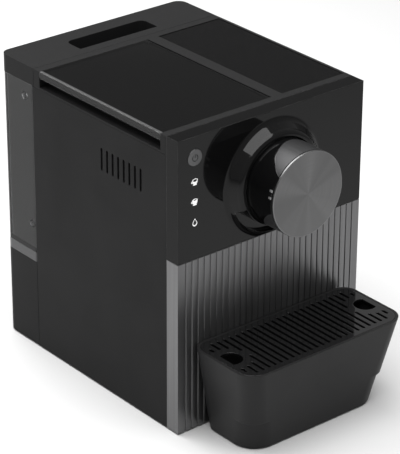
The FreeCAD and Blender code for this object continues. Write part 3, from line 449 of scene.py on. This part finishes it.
@dataclass(frozen=True)
class Turned:
    """Metal turned on a lathe about the brew axis, lacquered, with its rim painted brighter as a highlight
    and soft sectors of painted sheen.
    """

    name: str
    colour: Colour
    roughness: float = 0.3
    highlight_rim_radius: float = 0.0366
    anisotropy: float = 0.75

    def material(self) -> bpy.types.Material:
        """Build the finish.

        Returns:
            The material.
        """
        material, graph, shader, where = new_material(self.name)
        centred = graph.add("ShaderNodeMapping", {"Vector": where, "Location": tuple(-AXIS)}).outputs[0]
        lines = EFFECTS.place(graph, "turned_lines", Vector=centred)
        soft = EFFECTS.place(graph, "rounded_edges", Vector=where, Radius=0.4 * MM)
        base = graph.blend(lines["Tone"], scaled(self.colour, 0.86), scaled(self.colour, 1.14))
        # Soft sectors are painted darker between the lighter wedges, a painted sheen of the spun face.
        base = graph.blend(lines["Painted Sheen"], scaled(self.colour, 0.84), base)
        # The outer rim is painted brighter all round as a highlight.
        rim = graph.math("GREATER_THAN", lines["Ring"], self.highlight_rim_radius)
        base = graph.blend(graph.math("MULTIPLY", rim, 0.5), base, scaled(self.colour, 1.4))
        rough = graph.math("MULTIPLY_ADD", lines["Tone"], 0.1, self.roughness - 0.05)
        normal = graph.bump(0.12, 0.03 * MM, lines["Height"], soft["Normal"])
        along = graph.vector("CROSS_PRODUCT", centred, (0.0, 1.0, 0.0)).outputs[0]
        tangent = graph.vector("NORMALIZE", along).outputs[0]
        graph.give(shader, {"Metallic": 1.0, "Anisotropic": self.anisotropy, "Tangent": tangent})
        graph.give(shader, {"Base Color": base, "Roughness": rough, "Normal": normal})
        return material


@dataclass(frozen=True)
class SeeThrough:
    """Thin clear or smoked plastic: tinted, glossy, with edges painted brighter partly as wear and partly as
    a highlight, a painted sheen on grazing rims, and fine scratches.

    The part left of the lit edge is a strip painted as a highlight band, brightest at its crest.
    """

    name: str
    tint: Colour
    body: Colour
    cover: float = 0.1
    roughness: float = 0.05
    rim_light: float = 0.3
    lit_edge: float = -1.0
    crest: tuple[float, float] = (0.2688, 0.2696)
    strip_base: Colour = (0.022, 0.022, 0.022)
    strip_highlight: Colour = (0.13, 0.13, 0.13)

    def material(self) -> bpy.types.Material:
        """Build the finish.

        Returns:
            The material.
        """
        material, graph, shader, where = new_material(self.name)
        rim = EFFECTS.place(graph, "rounded_edges", Vector=where, Radius=0.7 * MM)
        use = EFFECTS.place(graph, "handling", Vector=where, Scale=18.0)
        lines = EFFECTS.place(graph, "drawn_lines", Vector=where, Stretch=(1.0, 0.05, 0.4))
        place = graph.split(where)
        highlight_strip = graph.math("LESS_THAN", place[0], self.lit_edge)
        # Rims seen at a grazing angle are painted towards near-white, a painted sheen, and made more opaque
        # so it shows.
        facing = graph.add("ShaderNodeLayerWeight", {"Blend": 0.5}).outputs["Facing"]
        edge = graph.math("MULTIPLY", graph.ramp(facing, (0.62, 0.9)), self.rim_light)
        # Edges are painted brighter, partly as wear and partly as a painted highlight.
        worn_and_highlit = graph.math("MULTIPLY", rim["Wear And Highlight"], 0.8)
        base = graph.blend(worn_and_highlit, self.body, scaled(self.body, 3.0, 0.05))
        base = graph.blend(edge, base, EDGE_HIGHLIGHT)
        # The strip left of the lit edge is painted lighter towards its crest as a highlight, and made more
        # opaque so it shows.
        strip_tone = graph.blend(graph.ramp(place[2], self.crest), self.strip_base, self.strip_highlight)
        base = graph.blend(graph.math("MULTIPLY", highlight_strip, 0.9), base, strip_tone)
        rough = graph.math("MULTIPLY_ADD", use["Smudge"], 0.06, self.roughness)
        normal = graph.bump(0.008, 0.03 * MM, lines["Height"], rim["Normal"])
        graph.give(shader, {"Base Color": base, "Roughness": rough, "Normal": normal})
        clear = graph.add("ShaderNodeBsdfTransparent", {"Color": (*self.tint, 1.0)}).outputs[0]
        gloss = graph.add("ShaderNodeFresnel", {"IOR": 1.45}).outputs[0]
        share = graph.math("ADD", graph.math("ADD", gloss, self.cover), edge)
        share = graph.math("ADD", share, graph.math("MULTIPLY", highlight_strip, 0.3))
        share = graph.math("ADD", share, graph.math("MULTIPLY", rim["Wear And Highlight"], 0.5), clamp=True)
        mix = graph.add("ShaderNodeMixShader", {0: share, 1: clear, 2: shader.outputs[0]}).outputs[0]
        graph.give(graph.tree.nodes["Material Output"], {"Surface": mix})
        return material


@dataclass(frozen=True)
class Lit:
    """Printed mark that glows: lit by a lamp where one is behind it, a painted glow where none is."""

    name: str
    colour: Colour
    strength: float = 0.8

    def material(self) -> bpy.types.Material:
        """Build the finish.

        Returns:
            The material.
        """
        material, graph, shader, where = new_material(self.name)
        grain = EFFECTS.place(graph, "fine_grain", Vector=where, Scale=3000.0)
        glow = graph.blend(grain["Tone"], scaled(self.colour, 0.85), self.colour)
        graph.give(shader, {"Base Color": glow, "Emission Color": glow})
        graph.give(shader, {"Emission Strength": self.strength, "Roughness": 0.4})
        return material


@dataclass(frozen=True)
class Circuit:
    """Lacquered circuit board with printed tracks."""

    name: str
    lacquer: Colour
    track: Colour

    def material(self) -> bpy.types.Material:
        """Build the finish.

        Returns:
            The material.
        """
        material, graph, shader, where = new_material(self.name)
        pattern = {"Vector": where, "Scale": 170.0, "Mortar Size": 0.03}
        tracks = graph.add("ShaderNodeTexBrick", pattern, offset=0.35, squash=0.6).outputs["Fac"]
        soft = EFFECTS.place(graph, "rounded_edges", Vector=where, Radius=0.3 * MM)
        base = graph.blend(tracks, self.lacquer, self.track)
        rough = graph.math("MULTIPLY_ADD", tracks, 0.2, 0.25)
        normal = graph.bump(0.3, 0.05 * MM, tracks, soft["Normal"])
        graph.give(shader, {"Base Color": base, "Roughness": rough, "Normal": normal})
        return material


Finish = Moulded | Brushed | Turned | SeeThrough | Lit | Circuit


def dress(finish: Finish, nodes: Iterable[str]) -> None:
    """Give carried frame nodes a finish.

    Args:
        finish: The finish, built once for all of them.
        nodes: Names of the nodes.
    """
    material = finish.material()
    for name in nodes:
        for slot in frame["nodes"][name].material_slots:
            slot.material = material
        LOG.info("piece %s is dressed in %s", name, finish.name)


def settle(
    mesh: bpy.types.Mesh, name: str, body: Body, material: bpy.types.Material
) -> bpy.types.Object:
    """Make a finished mesh a piece of the object.

    Args:
        mesh: Mesh in place in the frame.
        name: The piece's name.
        body: The body it rides on.
        material: Its material.

    Returns:
        The piece.
    """
    mesh.materials.clear()
    mesh.materials.append(material)
    piece = bpy.data.objects.new(name, mesh)
    bpy.context.scene.collection.objects.link(piece)
    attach(piece, body.value)
    LOG.info("piece %s rides on %s: %d faces", name, body.value, len(mesh.polygons))
    return piece


def plain_mesh(host: bpy.types.Object) -> bpy.types.Mesh:
    """Turn an object into a plain mesh.

    Args:
        host: The object, in the scene, with anything that grows or fills it.

    Returns:
        The mesh that it shows.
    """
    bpy.context.view_layer.update()
    return bpy.data.meshes.new_from_object(host.evaluated_get(bpy.context.evaluated_depsgraph_get()))


def grown(tree: bpy.types.NodeTree, values: dict[str, object]) -> bpy.types.Mesh:
    """Run a Geometry Nodes tree once and keep its result.

    Args:
        tree: The tree, which makes all of its own geometry.
        values: Input values by name.

    Returns:
        The result as a plain mesh.
    """
    host = bpy.data.objects.new("grower", bpy.data.meshes.new("grower"))
    bpy.context.scene.collection.objects.link(host)
    modifier = host.modifiers.new("grow", "NODES")
    modifier.node_group = tree
    for item in tree.interface.items_tree:
        if item.in_out == "INPUT":
            modifier[item.identifier] = values[item.name]
    mesh = plain_mesh(host)
    host.modifiers.remove(modifier)
    bpy.data.objects.remove(host)
    return mesh


def finished(bm: bmesh.types.BMesh, name: str) -> bpy.types.Mesh:
    """Write a mesh out and free its builder.

    Args:
        bm: The mesh being built.
        name: Name of the mesh.

    Returns:
        The mesh.
    """
    mesh = bpy.data.meshes.new(name)
    bm.to_mesh(mesh)
    bm.free()
    return mesh


def add_block(bm: bmesh.types.BMesh, xs: Sequence[float], ys: Sequence[float], zs: Sequence[float]) -> None:
    """Add a closed block between two values on each axis.

    Args:
        bm: The mesh being built.
        xs: Lowest and highest X.
        ys: Lowest and highest Y.
        zs: Lowest and highest Z.
    """
    size = Vector((xs[1] - xs[0], ys[1] - ys[0], zs[1] - zs[0]))
    middle = Vector((xs[0] + xs[1], ys[0] + ys[1], zs[0] + zs[1])) * 0.5
    matrix = Matrix.Translation(middle) @ Matrix.Diagonal((*size, 1.0))
    bmesh.ops.create_cube(bm, size=1.0, matrix=matrix)


def add_bar(bm: bmesh.types.BMesh, sections: Sequence[Sequence[Vector]]) -> None:
    """Add a closed bar with four sides.

    Args:
        bm: The mesh being built.
        sections: Its four corners at each step along it.
    """
    rings = [[bm.verts.new(corner) for corner in section] for section in sections]
    for first, second in zip(rings, rings[1:]):
        for side in range(4):
            after = (side + 1) % 4
            bm.faces.new((first[side], first[after], second[after], second[side]))
    bm.faces.new(rings[0])
    bm.faces.new(rings[-1])


def oval(
    middle: tuple[float, float], wide: float, high: float, first: float = 0.0, last: float = 360.0
) -> Outline:
    """Points along an oval.

    Args:
        middle: Its centre.
        wide: Half of its width.
        high: Half of its height.
        first: Angle of the first point, in degrees.
        last: Angle after the last point, in degrees.

    Returns:
        The points.
    """
    steps = 36
    angles = [math.radians(first + (last - first) * index / steps) for index in range(steps)]
    return [(middle[0] + wide * math.cos(a), middle[1] + high * math.sin(a)) for a in angles]


def drop(middle: tuple[float, float], radius: float, tip: float) -> Outline:
    """Points along a round drop whose pointed top stands a given height over its middle."""
    return [*oval(middle, radius, radius, 152.0, 388.0), (middle[0], middle[1] + tip)]


def curve_mesh(curve: bpy.types.Curve) -> bpy.types.Mesh:
    """Turn a curve into a plain mesh.

    Args:
        curve: The curve, which is not kept.

    Returns:
        The mesh.
    """
    host = bpy.data.objects.new("drawing", curve)
    bpy.context.scene.collection.objects.link(host)
    mesh = plain_mesh(host)
    bpy.data.objects.remove(host)
    return mesh


@dataclass
class Housing:
    """Outer panels, top, base and the plain parts behind them."""

    shell: Moulded = Moulded("satin_dark_shell", (0.0092, 0.0092, 0.0094), roughness=0.46, specular=0.09)
    frame: Moulded = Moulded("satin_top_frame", (0.009, 0.009, 0.0092), roughness=0.4, specular=0.085)
    panel: Moulded = Moulded("satin_top_panel", (0.003, 0.003, 0.0031), roughness=0.12, specular=0.02)
    inner: Moulded = Moulded("plain_black_inner", (0.014, 0.014, 0.014), roughness=0.55, specular=0.35)
    rubber: Moulded = Moulded("soft_rubber", (0.012, 0.012, 0.012), 0.8, 0.2, grain=900.0, depth=0.5)
    bulkhead: Moulded = Moulded("plain_grey_bulkhead", (0.05, 0.05, 0.051), 0.5, 0.2, 600.0, 0.05)
    compartment: Moulded = Moulded("dark_compartment", (0.035, 0.035, 0.036), 0.5, 0.2, 600.0, 0.05)
    screws: Brushed = Brushed("plated_screws", (0.5, 0.5, 0.51), Grain.ALONG_X)

    def build(self) -> None:
        """Dress the housing's nodes."""
        dress(self.shell, ["left_side_panel", "right_side_panel", "rear_lower_cover"])
        dress(self.bulkhead, ["rear_bulkhead"])
        dress(self.compartment, ["storage_tray"])
        dress(self.frame, ["top_frame"])
        dress(self.panel, ["top_right_panel"])
        dress(self.inner, ["base_plate", "base_ribs", "tray_tongue"])
        dress(self.rubber, ["machine_feet", "cord_gland"])
        dress(self.screws, ["base_screws", "rear_cover_screws"])


@dataclass
class Lid:
    """Smoked lid over the storage tray, on two steel pins."""

    smoke: SeeThrough = SeeThrough(
        "smoked_lid",
        tint=(0.5, 0.5, 0.505),
        body=(0.012, 0.012, 0.012),
        cover=0.07,
        roughness=0.06,
        rim_light=0.1,
        lit_edge=-0.0972,
    )
    pins: Brushed = Brushed("ground_pins", (0.55, 0.55, 0.56), Grain.ALONG_Y)

    def build(self) -> None:
        """Dress the lid's nodes."""
        dress(self.smoke, ["storage_lid"])
        dress(self.pins, ["lid_hinge_pins"])


@dataclass
class ControlFascia:
    """Gloss front, and the power button in it."""

    gloss: Moulded = Moulded(
        "gloss_black_fascia",
        (0.0035, 0.0035, 0.0036),
        roughness=0.1,
        specular=0.03,
        grain=300.0,
        depth=0.01,
        edge=0.0006,
        # Strong edge mask and lift: a thin light line painted on the front edges as a highlight, partly
        # polish.
        wear_and_highlight=0.9,
        smudge=0.03,
        dust=0.02,
        coat=0.38,
        sheet=(0.0996, 0.2696),
        edge_highlight_lift=0.1,
    )
    button: Brushed = Brushed("button_metal", (0.14, 0.14, 0.142), Grain.ALONG_X, roughness=0.35)

    def build(self) -> None:
        """Dress the fascia's nodes."""
        dress(self.gloss, ["front_fascia"])
        dress(self.button, ["power_button"])


@dataclass
class BrewHead:
    """Capsule holder, its turning knob and the works behind."""

    sleeve: Moulded = Moulded(
        "gloss_black_sleeve",
        (0.0025, 0.0025, 0.0026),
        roughness=0.05,
        specular=0.42,
        grain=300.0,
        depth=0.01,
        wear_and_highlight=0.1,
        smudge=0.03,
        dust=0.02,
    )
    lobes: Brushed = Brushed("satin_lobes", (0.038, 0.038, 0.039), Grain.ALONG_Y, 0.42, metallic=0.6)
    disc: Turned = Turned("spun_disc", (0.142, 0.142, 0.143))
    holder: Moulded = Moulded("holder_plastic", (0.012, 0.012, 0.012), roughness=0.4, specular=0.4)
    steel: Brushed = Brushed("drawn_steel", (0.52, 0.52, 0.53), Grain.ALONG_Y, roughness=0.28)
    silicone: Moulded = Moulded("pale_silicone", (0.5, 0.5, 0.46), grain=700.0, depth=0.2)

    def build(self) -> None:
        """Dress the brew head's nodes."""
        dress(self.sleeve, ["knob_sleeve"])
        dress(self.lobes, ["knob_body"])
        dress(self.disc, ["knob_disc"])
        dress(self.holder, ["holder_barrel", "holder_front", "spout", "brew_socket", "brew_head"])
        metal = ["capsule_basket", "knob_pivot_screw", "brew_needles"]
        dress(self.steel, [*metal, "brew_screws", "brew_frame", "brew_hoses"])
        dress(self.silicone, ["holder_seal", "brew_gasket"])


@dataclass
class WaterTank:
    """Clear tank, its tinted plinth, valve and cap, and the spring wire of valve and button."""

    clear: SeeThrough = SeeThrough(
        "clear_tank", tint=(0.8, 0.8, 0.805), body=(0.15, 0.15, 0.15), cover=0.14, rim_light=0.9
    )
    plinth: Moulded = Moulded("tinted_plinth", (0.034, 0.034, 0.036), 0.3, 0.5, grain=600.0, depth=0.05)
    cap: Moulded = Moulded("satin_cap", (0.009, 0.009, 0.0092), roughness=0.4, specular=0.09)
    valve: Moulded = Moulded("valve_plastic", (0.02, 0.02, 0.02), roughness=0.4)
    wire: Brushed = Brushed("spring_wire", (0.6, 0.6, 0.61), Grain.ALONG_Z)
    silicone: Moulded = Moulded("tank_seal_silicone", (0.5, 0.5, 0.46), grain=700.0)

    def build(self) -> None:
        """Dress the tank's nodes."""
        dress(self.clear, ["tank_shell"])
        dress(self.plinth, ["tank_base"])
        dress(self.cap, ["tank_cap"])
        dress(self.valve, ["tank_valve_cage", "valve_poppet", "dock_coupling"])
        dress(self.wire, ["valve_spring", "button_spring"])
        dress(self.silicone, ["tank_seal"])


@dataclass
class DripTray:
    """Pull-out tray with its slotted grille."""

    body: Moulded = Moulded("satin_dark_tray", (0.0125, 0.0125, 0.0128), roughness=0.42, specular=0.18)
    grille: Moulded = Moulded(
        "gloss_black_grille",
        (0.006, 0.006, 0.0062),
        roughness=0.06,
        specular=0.6,
        grain=300.0,
        depth=0.01,
        edge=0.0006,
        wear_and_highlight=0.3,
        smudge=0.03,
        dust=0.02,
    )
    rubber: Moulded = Moulded("tray_foot_rubber", (0.012, 0.012, 0.012), 0.8, 0.2, grain=900.0, depth=0.5)

    def build(self) -> None:
        """Dress the tray's nodes."""
        dress(self.body, ["drip_tray"])
        dress(self.grille, ["drip_grille"])
        dress(self.rubber, ["tray_feet"])


@dataclass
class Works:
    """Pump, heater, boards and hoses inside the body."""

    plastic: Moulded = Moulded("works_plastic", (0.05, 0.05, 0.052))
    rubber: Moulded = Moulded("works_rubber", (0.02, 0.02, 0.02), roughness=0.8, specular=0.2)
    heater: Brushed = Brushed("cast_heater", (0.6, 0.6, 0.61), Grain.ALONG_X, roughness=0.5)
    hose: Moulded = Moulded("milky_silicone_hose", (0.55, 0.55, 0.52), roughness=0.45, grain=700.0)
    board: Circuit = Circuit("circuit_board", lacquer=(0.01, 0.09, 0.03), track=(0.04, 0.2, 0.08))

    def build(self) -> None:
        """Dress the works' nodes."""
        dress(self.plastic, ["water_pump", "flow_meter", "power_switch"])
        dress(self.rubber, ["pump_mounts"])
        dress(self.heater, ["thermoblock", "thermoblock_posts"])
        dress(self.hose, ["inlet_hose", "pump_hose"])
        dress(self.board, ["control_board", "mains_board"])


@dataclass
class RibbedPanel:
    """Ribbed lower front: rounded upright ribs on a shell with plain side returns."""

    count: int = 28
    pitch: float = 0.00655
    rib_width: float = 0.00555
    rib_depth: float = 0.0012
    fillet: float = 0.00032
    fillet_steps: int = 4
    bottom: float = 0.0015
    top: float = 0.160
    half: float = 0.1
    wall: float = 0.0025
    depth: float = 0.0145
    groove: float = 0.0008
    notch_half: float = 0.0384
    notch_top: float = 0.006
    metal: Brushed = Brushed("ribbed_dark_metal", (0.155, 0.155, 0.157), Grain.ALONG_Z, 0.3, metallic=0.9)

    def _tree(self) -> bpy.types.NodeTree:
        """Geometry Nodes that stand a rounded rib on each point of a row.

        Returns:
            The tree.
        """
        tree = bpy.data.node_groups.new("upright_ribs", "GeometryNodeTree")
        tree.interface.new_socket("Geometry", in_out="OUTPUT", socket_type="NodeSocketGeometry")
        kinds = {"Count": "Int", "Start": "Vector", "Finish": "Material"}
        lengths = ["Pitch", "Width", "Depth", "Fillet", "Height", "Notch Half", "Notch Scale"]
        for key, kind in (kinds | dict.fromkeys(lengths, "Float")).items():
            tree.interface.new_socket(key, in_out="INPUT", socket_type="NodeSocket" + kind)
        graph = Graph(tree)
        given = graph.add("NodeGroupInput").outputs
        step = graph.join(given["Pitch"])
        row = {"Count": given["Count"], "Start Location": given["Start"], "Offset": step}
        points = graph.add("GeometryNodeMeshLine", row).outputs[0]
        down = graph.join(z=graph.math("MULTIPLY", given["Height"], -1.0))
        path = graph.add("GeometryNodeCurvePrimitiveLine", {"Start": (0.0, 0.0, 0.0), "End": down}).outputs[0]
        size = {"Width": given["Width"], "Height": given["Depth"]}
        outline = graph.add("GeometryNodeCurvePrimitiveQuadrilateral", size).outputs[0]
        corners = {"Curve": outline, "Count": self.fillet_steps, "Radius": given["Fillet"]}
        rounded = graph.add("GeometryNodeFilletCurve", corners, mode="POLY").outputs[0]
        swept = {"Curve": path, "Profile Curve": rounded, "Fill Caps": True}
        rib = graph.add("GeometryNodeCurveToMesh", swept).outputs[0]
        place = graph.split(graph.add("GeometryNodeInputPosition").outputs[0])
        inside = graph.math("LESS_THAN", graph.math("ABSOLUTE", place[0]), given["Notch Half"])
        short = graph.math("MULTIPLY_ADD", inside, graph.math("SUBTRACT", given["Notch Scale"], 1.0), 1.0)
        copies = {"Points": points, "Instance": rib, "Scale": graph.join(1.0, 1.0, short)}
        ribs = graph.add("GeometryNodeInstanceOnPoints", copies).outputs[0]
        real = graph.add("GeometryNodeRealizeInstances", {0: ribs}).outputs[0]
        painted = graph.add("GeometryNodeSetMaterial", {"Geometry": real, "Material": given["Finish"]})
        graph.add("NodeGroupOutput", {0: painted.outputs[0]})
        return tree

    def _ribs(self, material: bpy.types.Material) -> bpy.types.Mesh:
        """Run the rib tree.

        Args:
            material: The panel's material.

        Returns:
            The ribs as one plain mesh, in place.
        """
        tall = self.top - self.bottom
        values = {
            "Count": self.count,
            "Pitch": self.pitch,
            "Width": self.rib_width,
            "Depth": self.rib_depth,
            "Fillet": self.fillet,
            "Height": tall,
            "Notch Half": self.notch_half + 0.5 * self.rib_width,
            "Notch Scale": (self.top - self.notch_top) / tall,
            "Start": (-0.5 * (self.count - 1) * self.pitch, FRONT_FACE + 0.5 * self.rib_depth, self.top),
            "Finish": material,
        }
        return grown(self._tree(), values)

    def build(self) -> None:
        """Make the panel from its shell and its ribs."""
        material = self.metal.material()
        shell = bmesh.new()
        back = FRONT_FACE + self.groove
        plate = (back, back + self.wall)
        deep = (plate[1], FRONT_FACE + self.depth)
        tall = (self.bottom, self.top)
        strip = self.half - 0.5 * (self.count * self.pitch) - 0.5 * (self.pitch - self.rib_width)
        for side in (-1.0, 1.0):
            edge = side * self.half
            inner = side * (self.half - strip)
            add_block(shell, sorted((edge, inner)), (FRONT_FACE, plate[1]), tall)
            add_block(shell, sorted((edge, side * (self.half - self.wall))), deep, tall)
            add_block(shell, sorted((inner, side * self.notch_half)), plate, tall)
        add_block(shell, (-self.notch_half, self.notch_half), plate, (self.notch_top, self.top))
        span = self.half - self.wall
        add_block(shell, (-span, span), deep, (self.top - self.wall, self.top))
        shell.from_mesh(self._ribs(material))
        mesh = finished(shell, "ribbed_front")
        piece = settle(mesh, "ribbed_front", Body.MACHINE, material)
        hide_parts("ribbed_front_panel")


@dataclass
class LockMarks:
    """Printed padlock signs on the sleeve, one shut and one open, beside the disc.

    A sign is the angle of its middle, in degrees, and how far its shackle is pulled out.
    """

    radius: float = 0.0375
    lift: float = 0.00006
    body_width: float = 0.0021
    body_height: float = 0.0017
    line: float = 0.00045
    shackle: float = 0.0011
    shackle_share: float = 0.8
    edge: float = -0.1247
    steps: int = 4
    signs: tuple[tuple[float, float], ...] = ((171.0, 0.0), (162.0, 0.0011))
    # The printed signs glow faintly though no lamp is behind them: a painted glow.
    ink: Lit = Lit("printed_white_painted_glow", (0.2, 0.2, 0.2), strength=0.02)

    def _patch(self, bm: bmesh.types.BMesh, angles: tuple[float, float], ys: tuple[float, float]) -> None:
        """Add one thin patch that follows the sleeve.

        Args:
            bm: The mesh being built.
            angles: First and last angle about the brew axis, in radians.
            ys: First and last Y.
        """
        sections = []
        for index in range(self.steps + 1):
            angle = angles[0] + (angles[1] - angles[0]) * index / self.steps
            way = Vector((math.cos(angle), 0.0, math.sin(angle)))
            low, high = AXIS + way * (self.radius - self.lift), AXIS + way * (self.radius + self.lift)
            first, last = Vector((0.0, ys[0], 0.0)), Vector((0.0, ys[1], 0.0))
            sections.append([low + first, high + first, high + last, low + last])
        add_bar(bm, sections)

    def _sign(self, bm: bmesh.types.BMesh, middle: float, slide: float) -> None:
        """Add one padlock.

        Args:
            bm: The mesh being built.
            middle: Angle of its middle, in degrees.
            slide: How far its shackle is pulled out.
        """
        half = 0.5 * self.body_width / self.radius
        centre = math.radians(middle)
        top = self.edge + self.body_height
        self._patch(bm, (centre - half, centre + half), (self.edge, top))
        leg = self.line / self.radius
        left, right = centre - self.shackle_share * half, centre + self.shackle_share * half
        bow = top + self.shackle
        self._patch(bm, (left, left + leg), (top, bow))
        self._patch(bm, (right - leg, right), (top + 0.5 * slide, bow))
        self._patch(bm, (left, right), (bow, bow + self.line))

    def build(self) -> None:
        """Make both signs as one piece on the knob."""
        bm = bmesh.new()
        for middle, slide in self.signs:
            self._sign(bm, middle, slide)
        bmesh.ops.recalc_face_normals(bm, faces=bm.faces)
        settle(finished(bm, "lock_marks"), "lock_marks", Body.KNOB, self.ink.material())


@dataclass
class PowerSign:
    """Printed power sign in the button's engraving: an open ring and a bar."""

    height: float = 0.2513
    face: float = -0.08365
    lift: float = 0.00015
    inner: float = 0.0024
    outer: float = 0.0031
    gap: float = 28.0
    steps: int = 40
    bar_half: float = 0.00035
    bar: tuple[float, float] = (0.0001, 0.0037)
    ink: Moulded = Moulded(
        "dark_ink", (0.012, 0.012, 0.012), roughness=0.5, specular=0.2, grain=1500.0, depth=0.1, edge=0.0001
    )

    def build(self) -> None:
        """Make the sign as one piece on the button."""
        bm = bmesh.new()
        ys = (self.face, self.face + self.lift)
        corners = ((self.inner, ys[0]), (self.outer, ys[0]), (self.outer, ys[1]), (self.inner, ys[1]))
        sections = []
        for index in range(self.steps + 1):
            angle = math.radians(90.0 + self.gap + (360.0 - 2.0 * self.gap) * index / self.steps)
            way = Vector((math.cos(angle), 0.0, math.sin(angle)))
            sections.append([Vector((BUTTON_X, y, self.height)) + way * radius for radius, y in corners])
        add_bar(bm, sections)
        zs = [self.height + end for end in self.bar]
        add_block(bm, (BUTTON_X - self.bar_half, BUTTON_X + self.bar_half), ys, zs)
        bmesh.ops.recalc_face_normals(bm, faces=bm.faces)
        settle(finished(bm, "power_sign"), "power_sign", Body.BUTTON, self.ink.material())


@dataclass
class ControlMarks:
    """Lit marks drawn as outlines, in millimetres: a cup half full, a full cup and a drop."""

    thick: float = 0.0001
    sunk: float = 0.00005
    weld: float = 1e-7
    heights: tuple[float, float, float] = (0.2308, 0.2130, 0.1931)
    light: Lit = Lit("white_lit_marks", (0.9, 0.9, 0.9), strength=0.3)

    @staticmethod
    def _cup(level: Outline) -> list[list[Outline]]:
        """Outlines of one cup, seen a little from above.

        Args:
            level: Edge of the dark opening.

        Returns:
            Closed shapes, each as its edge and its holes.
        """
        rim = oval((0.0, 0.9), 2.8, 1.4, 0.0, 180.0)
        bowl = [*rim, (-2.8, 0.9), (-2.3, -1.5), (-1.2, -2.9), (1.2, -2.9), (2.3, -1.5)]
        handle = [oval((-2.9, -0.5), 1.0, 1.0), oval((-2.9, -0.5), 0.5, 0.5)]
        foot = [(-1.9, -3.5), (1.9, -3.5), (1.9, -2.8), (-1.9, -2.8)]
        return [[bowl, level], handle, [foot]]

    def _filled(self, shape: list[Outline]) -> bpy.types.Mesh:
        """Fill one closed shape and give it a thickness.

        Args:
            shape: Its edge and its holes.

        Returns:
            The mesh, lying flat.
        """
        curve = bpy.data.curves.new("outline", "CURVE")
        curve.dimensions = "2D"
        curve.fill_mode = "BOTH"
        curve.extrude = self.thick
        for outline in shape:
            spline = curve.splines.new("POLY")
            spline.points.add(len(outline) - 1)
            for point, (x, y) in zip(spline.points, outline):
                point.co = (MM * x, MM * y, 0.0, 1.0)
            spline.use_cyclic_u = True
        return curve_mesh(curve)

    def _mark(self, shapes: list[list[Outline]], height: float, name: str) -> bpy.types.Mesh:
        """Stand a drawing on the front.

        Args:
            shapes: Closed shapes, each as its edge and its holes.
            height: Height of the drawing's middle.
            name: Name of the mesh.

        Returns:
            The mesh in place.
        """
        bm = bmesh.new()
        for shape in shapes:
            bm.from_mesh(self._filled(shape))
        bmesh.ops.remove_doubles(bm, verts=bm.verts, dist=self.weld)
        bmesh.ops.recalc_face_normals(bm, faces=bm.faces)
        upright = Matrix.Rotation(math.radians(90.0), 4, "X")
        place = Matrix.Translation((BUTTON_X, FRONT_FACE - self.sunk, height)) @ upright
        bmesh.ops.transform(bm, matrix=place, verts=bm.verts)
        return finished(bm, name)

    def build(self) -> None:
        """Make the three marks in place of the plain ones."""
        material = self.light.material()
        drawings = {
            "short_coffee_mark": ("small_cup_light", self._cup(oval((0.1, 0.7), 2.1, 1.15))),
            "long_coffee_mark": ("large_cup_light", self._cup(oval((0.2, 1.2), 1.7, 0.55))),
            "rinse_mark": ("drop_light", [[drop((0.0, 0.0), 2.4, 4.6), drop((0.0, 0.4), 1.75, 3.4)]]),
        }
        for height, (name, (node, shapes)) in zip(self.heights, drawings.items()):
            piece = settle(self._mark(shapes, height, name), name, Body.MACHINE, material)
            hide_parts(node)


@dataclass
class Studio:
    """Pale floor, one soft box, even surrounding light and the camera."""

    eye: Point = (-1.1592, -1.3927, 1.0295)
    azimuth: float = -39.58
    elevation: float = 26.346
    roll: float = 0.271
    lens: float = 185.75
    far: float = 50.0
    floor_half: float = 8.0
    floor_dark: Colour = (0.62, 0.62, 0.62)
    floor_light: Colour = (0.65, 0.65, 0.65)
    floor_roughness: float = 0.9
    box_place: Point = (-0.25, 0.5, 1.5)
    box_size: tuple[float, float] = (1.45, 3.2)
    box_power: float = 70.0
    surround: float = 0.4

    def _camera(self) -> None:
        """Stand the camera where its box edges line up."""
        a, e, r = (math.radians(angle) for angle in (self.azimuth, self.elevation, self.roll))
        back = Vector((math.sin(a) * math.cos(e), -math.cos(a) * math.cos(e), math.sin(e)))
        level = Vector((math.cos(a), math.sin(a), 0.0))
        right = level * math.cos(r) + back.cross(level) * math.sin(r)
        turn = Matrix((right, back.cross(right), back)).transposed().to_4x4()
        data = bpy.data.cameras.new("view")
        data.lens = self.lens
        data.clip_end = self.far
        camera = bpy.data.objects.new("view", data)
        camera.matrix_world = Matrix.Translation(Vector(self.eye)) @ turn
        bpy.context.scene.collection.objects.link(camera)
        bpy.context.scene.camera = camera

    def _floor(self) -> None:
        """Lay the pale floor."""
        ground = bmesh.new()
        bmesh.ops.create_grid(ground, x_segments=1, y_segments=1, size=self.floor_half)
        mesh = finished(ground, "floor")
        material, graph, shader, where = new_material("pale_floor")
        tone = graph.blend(graph.noise(where, 3.0, 2.0), self.floor_dark, self.floor_light)
        graph.give(shader, {"Base Color": tone, "Roughness": self.floor_roughness})
        mesh.materials.append(material)
        floor = bpy.data.objects.new("floor", mesh)
        bpy.context.scene.collection.objects.link(floor)

    def _lights(self) -> None:
        """Hang the soft box and set the even surrounding light."""
        data = bpy.data.lights.new("ceiling_softbox", "AREA")
        data.shape = "RECTANGLE"
        data.size, data.size_y = self.box_size
        data.energy = self.box_power
        lamp = bpy.data.objects.new("ceiling_softbox", data)
        lamp.location = self.box_place
        bpy.context.scene.collection.objects.link(lamp)
        world = bpy.data.worlds.new("studio")
        world.use_nodes = True
        background = world.node_tree.nodes["Background"]
        background.inputs["Color"].default_value = (1.0, 1.0, 1.0, 1.0)
        background.inputs["Strength"].default_value = self.surround
        bpy.context.scene.world = world

    def build(self) -> None:
        """Set up the studio."""
        self._camera()
        self._floor()
        self._lights()
        bpy.context.scene.view_settings.view_transform = "Standard"


def main() -> None:
    """Build every sub-assembly in order."""
    logging.basicConfig(level=logging.INFO, format="%(name)s: %(message)s", stream=sys.stdout)
    panels = [Housing(), Lid(), ControlFascia(), ControlMarks(), PowerSign(), RibbedPanel()]
    units = [BrewHead(), LockMarks(), WaterTank(), DripTray(), Works()]
    for assembly in [*panels, *units, Studio()]:
        assembly.build()
        LOG.info("%s is built", type(assembly).__name__)


if __name__ == "__main__":
    main()
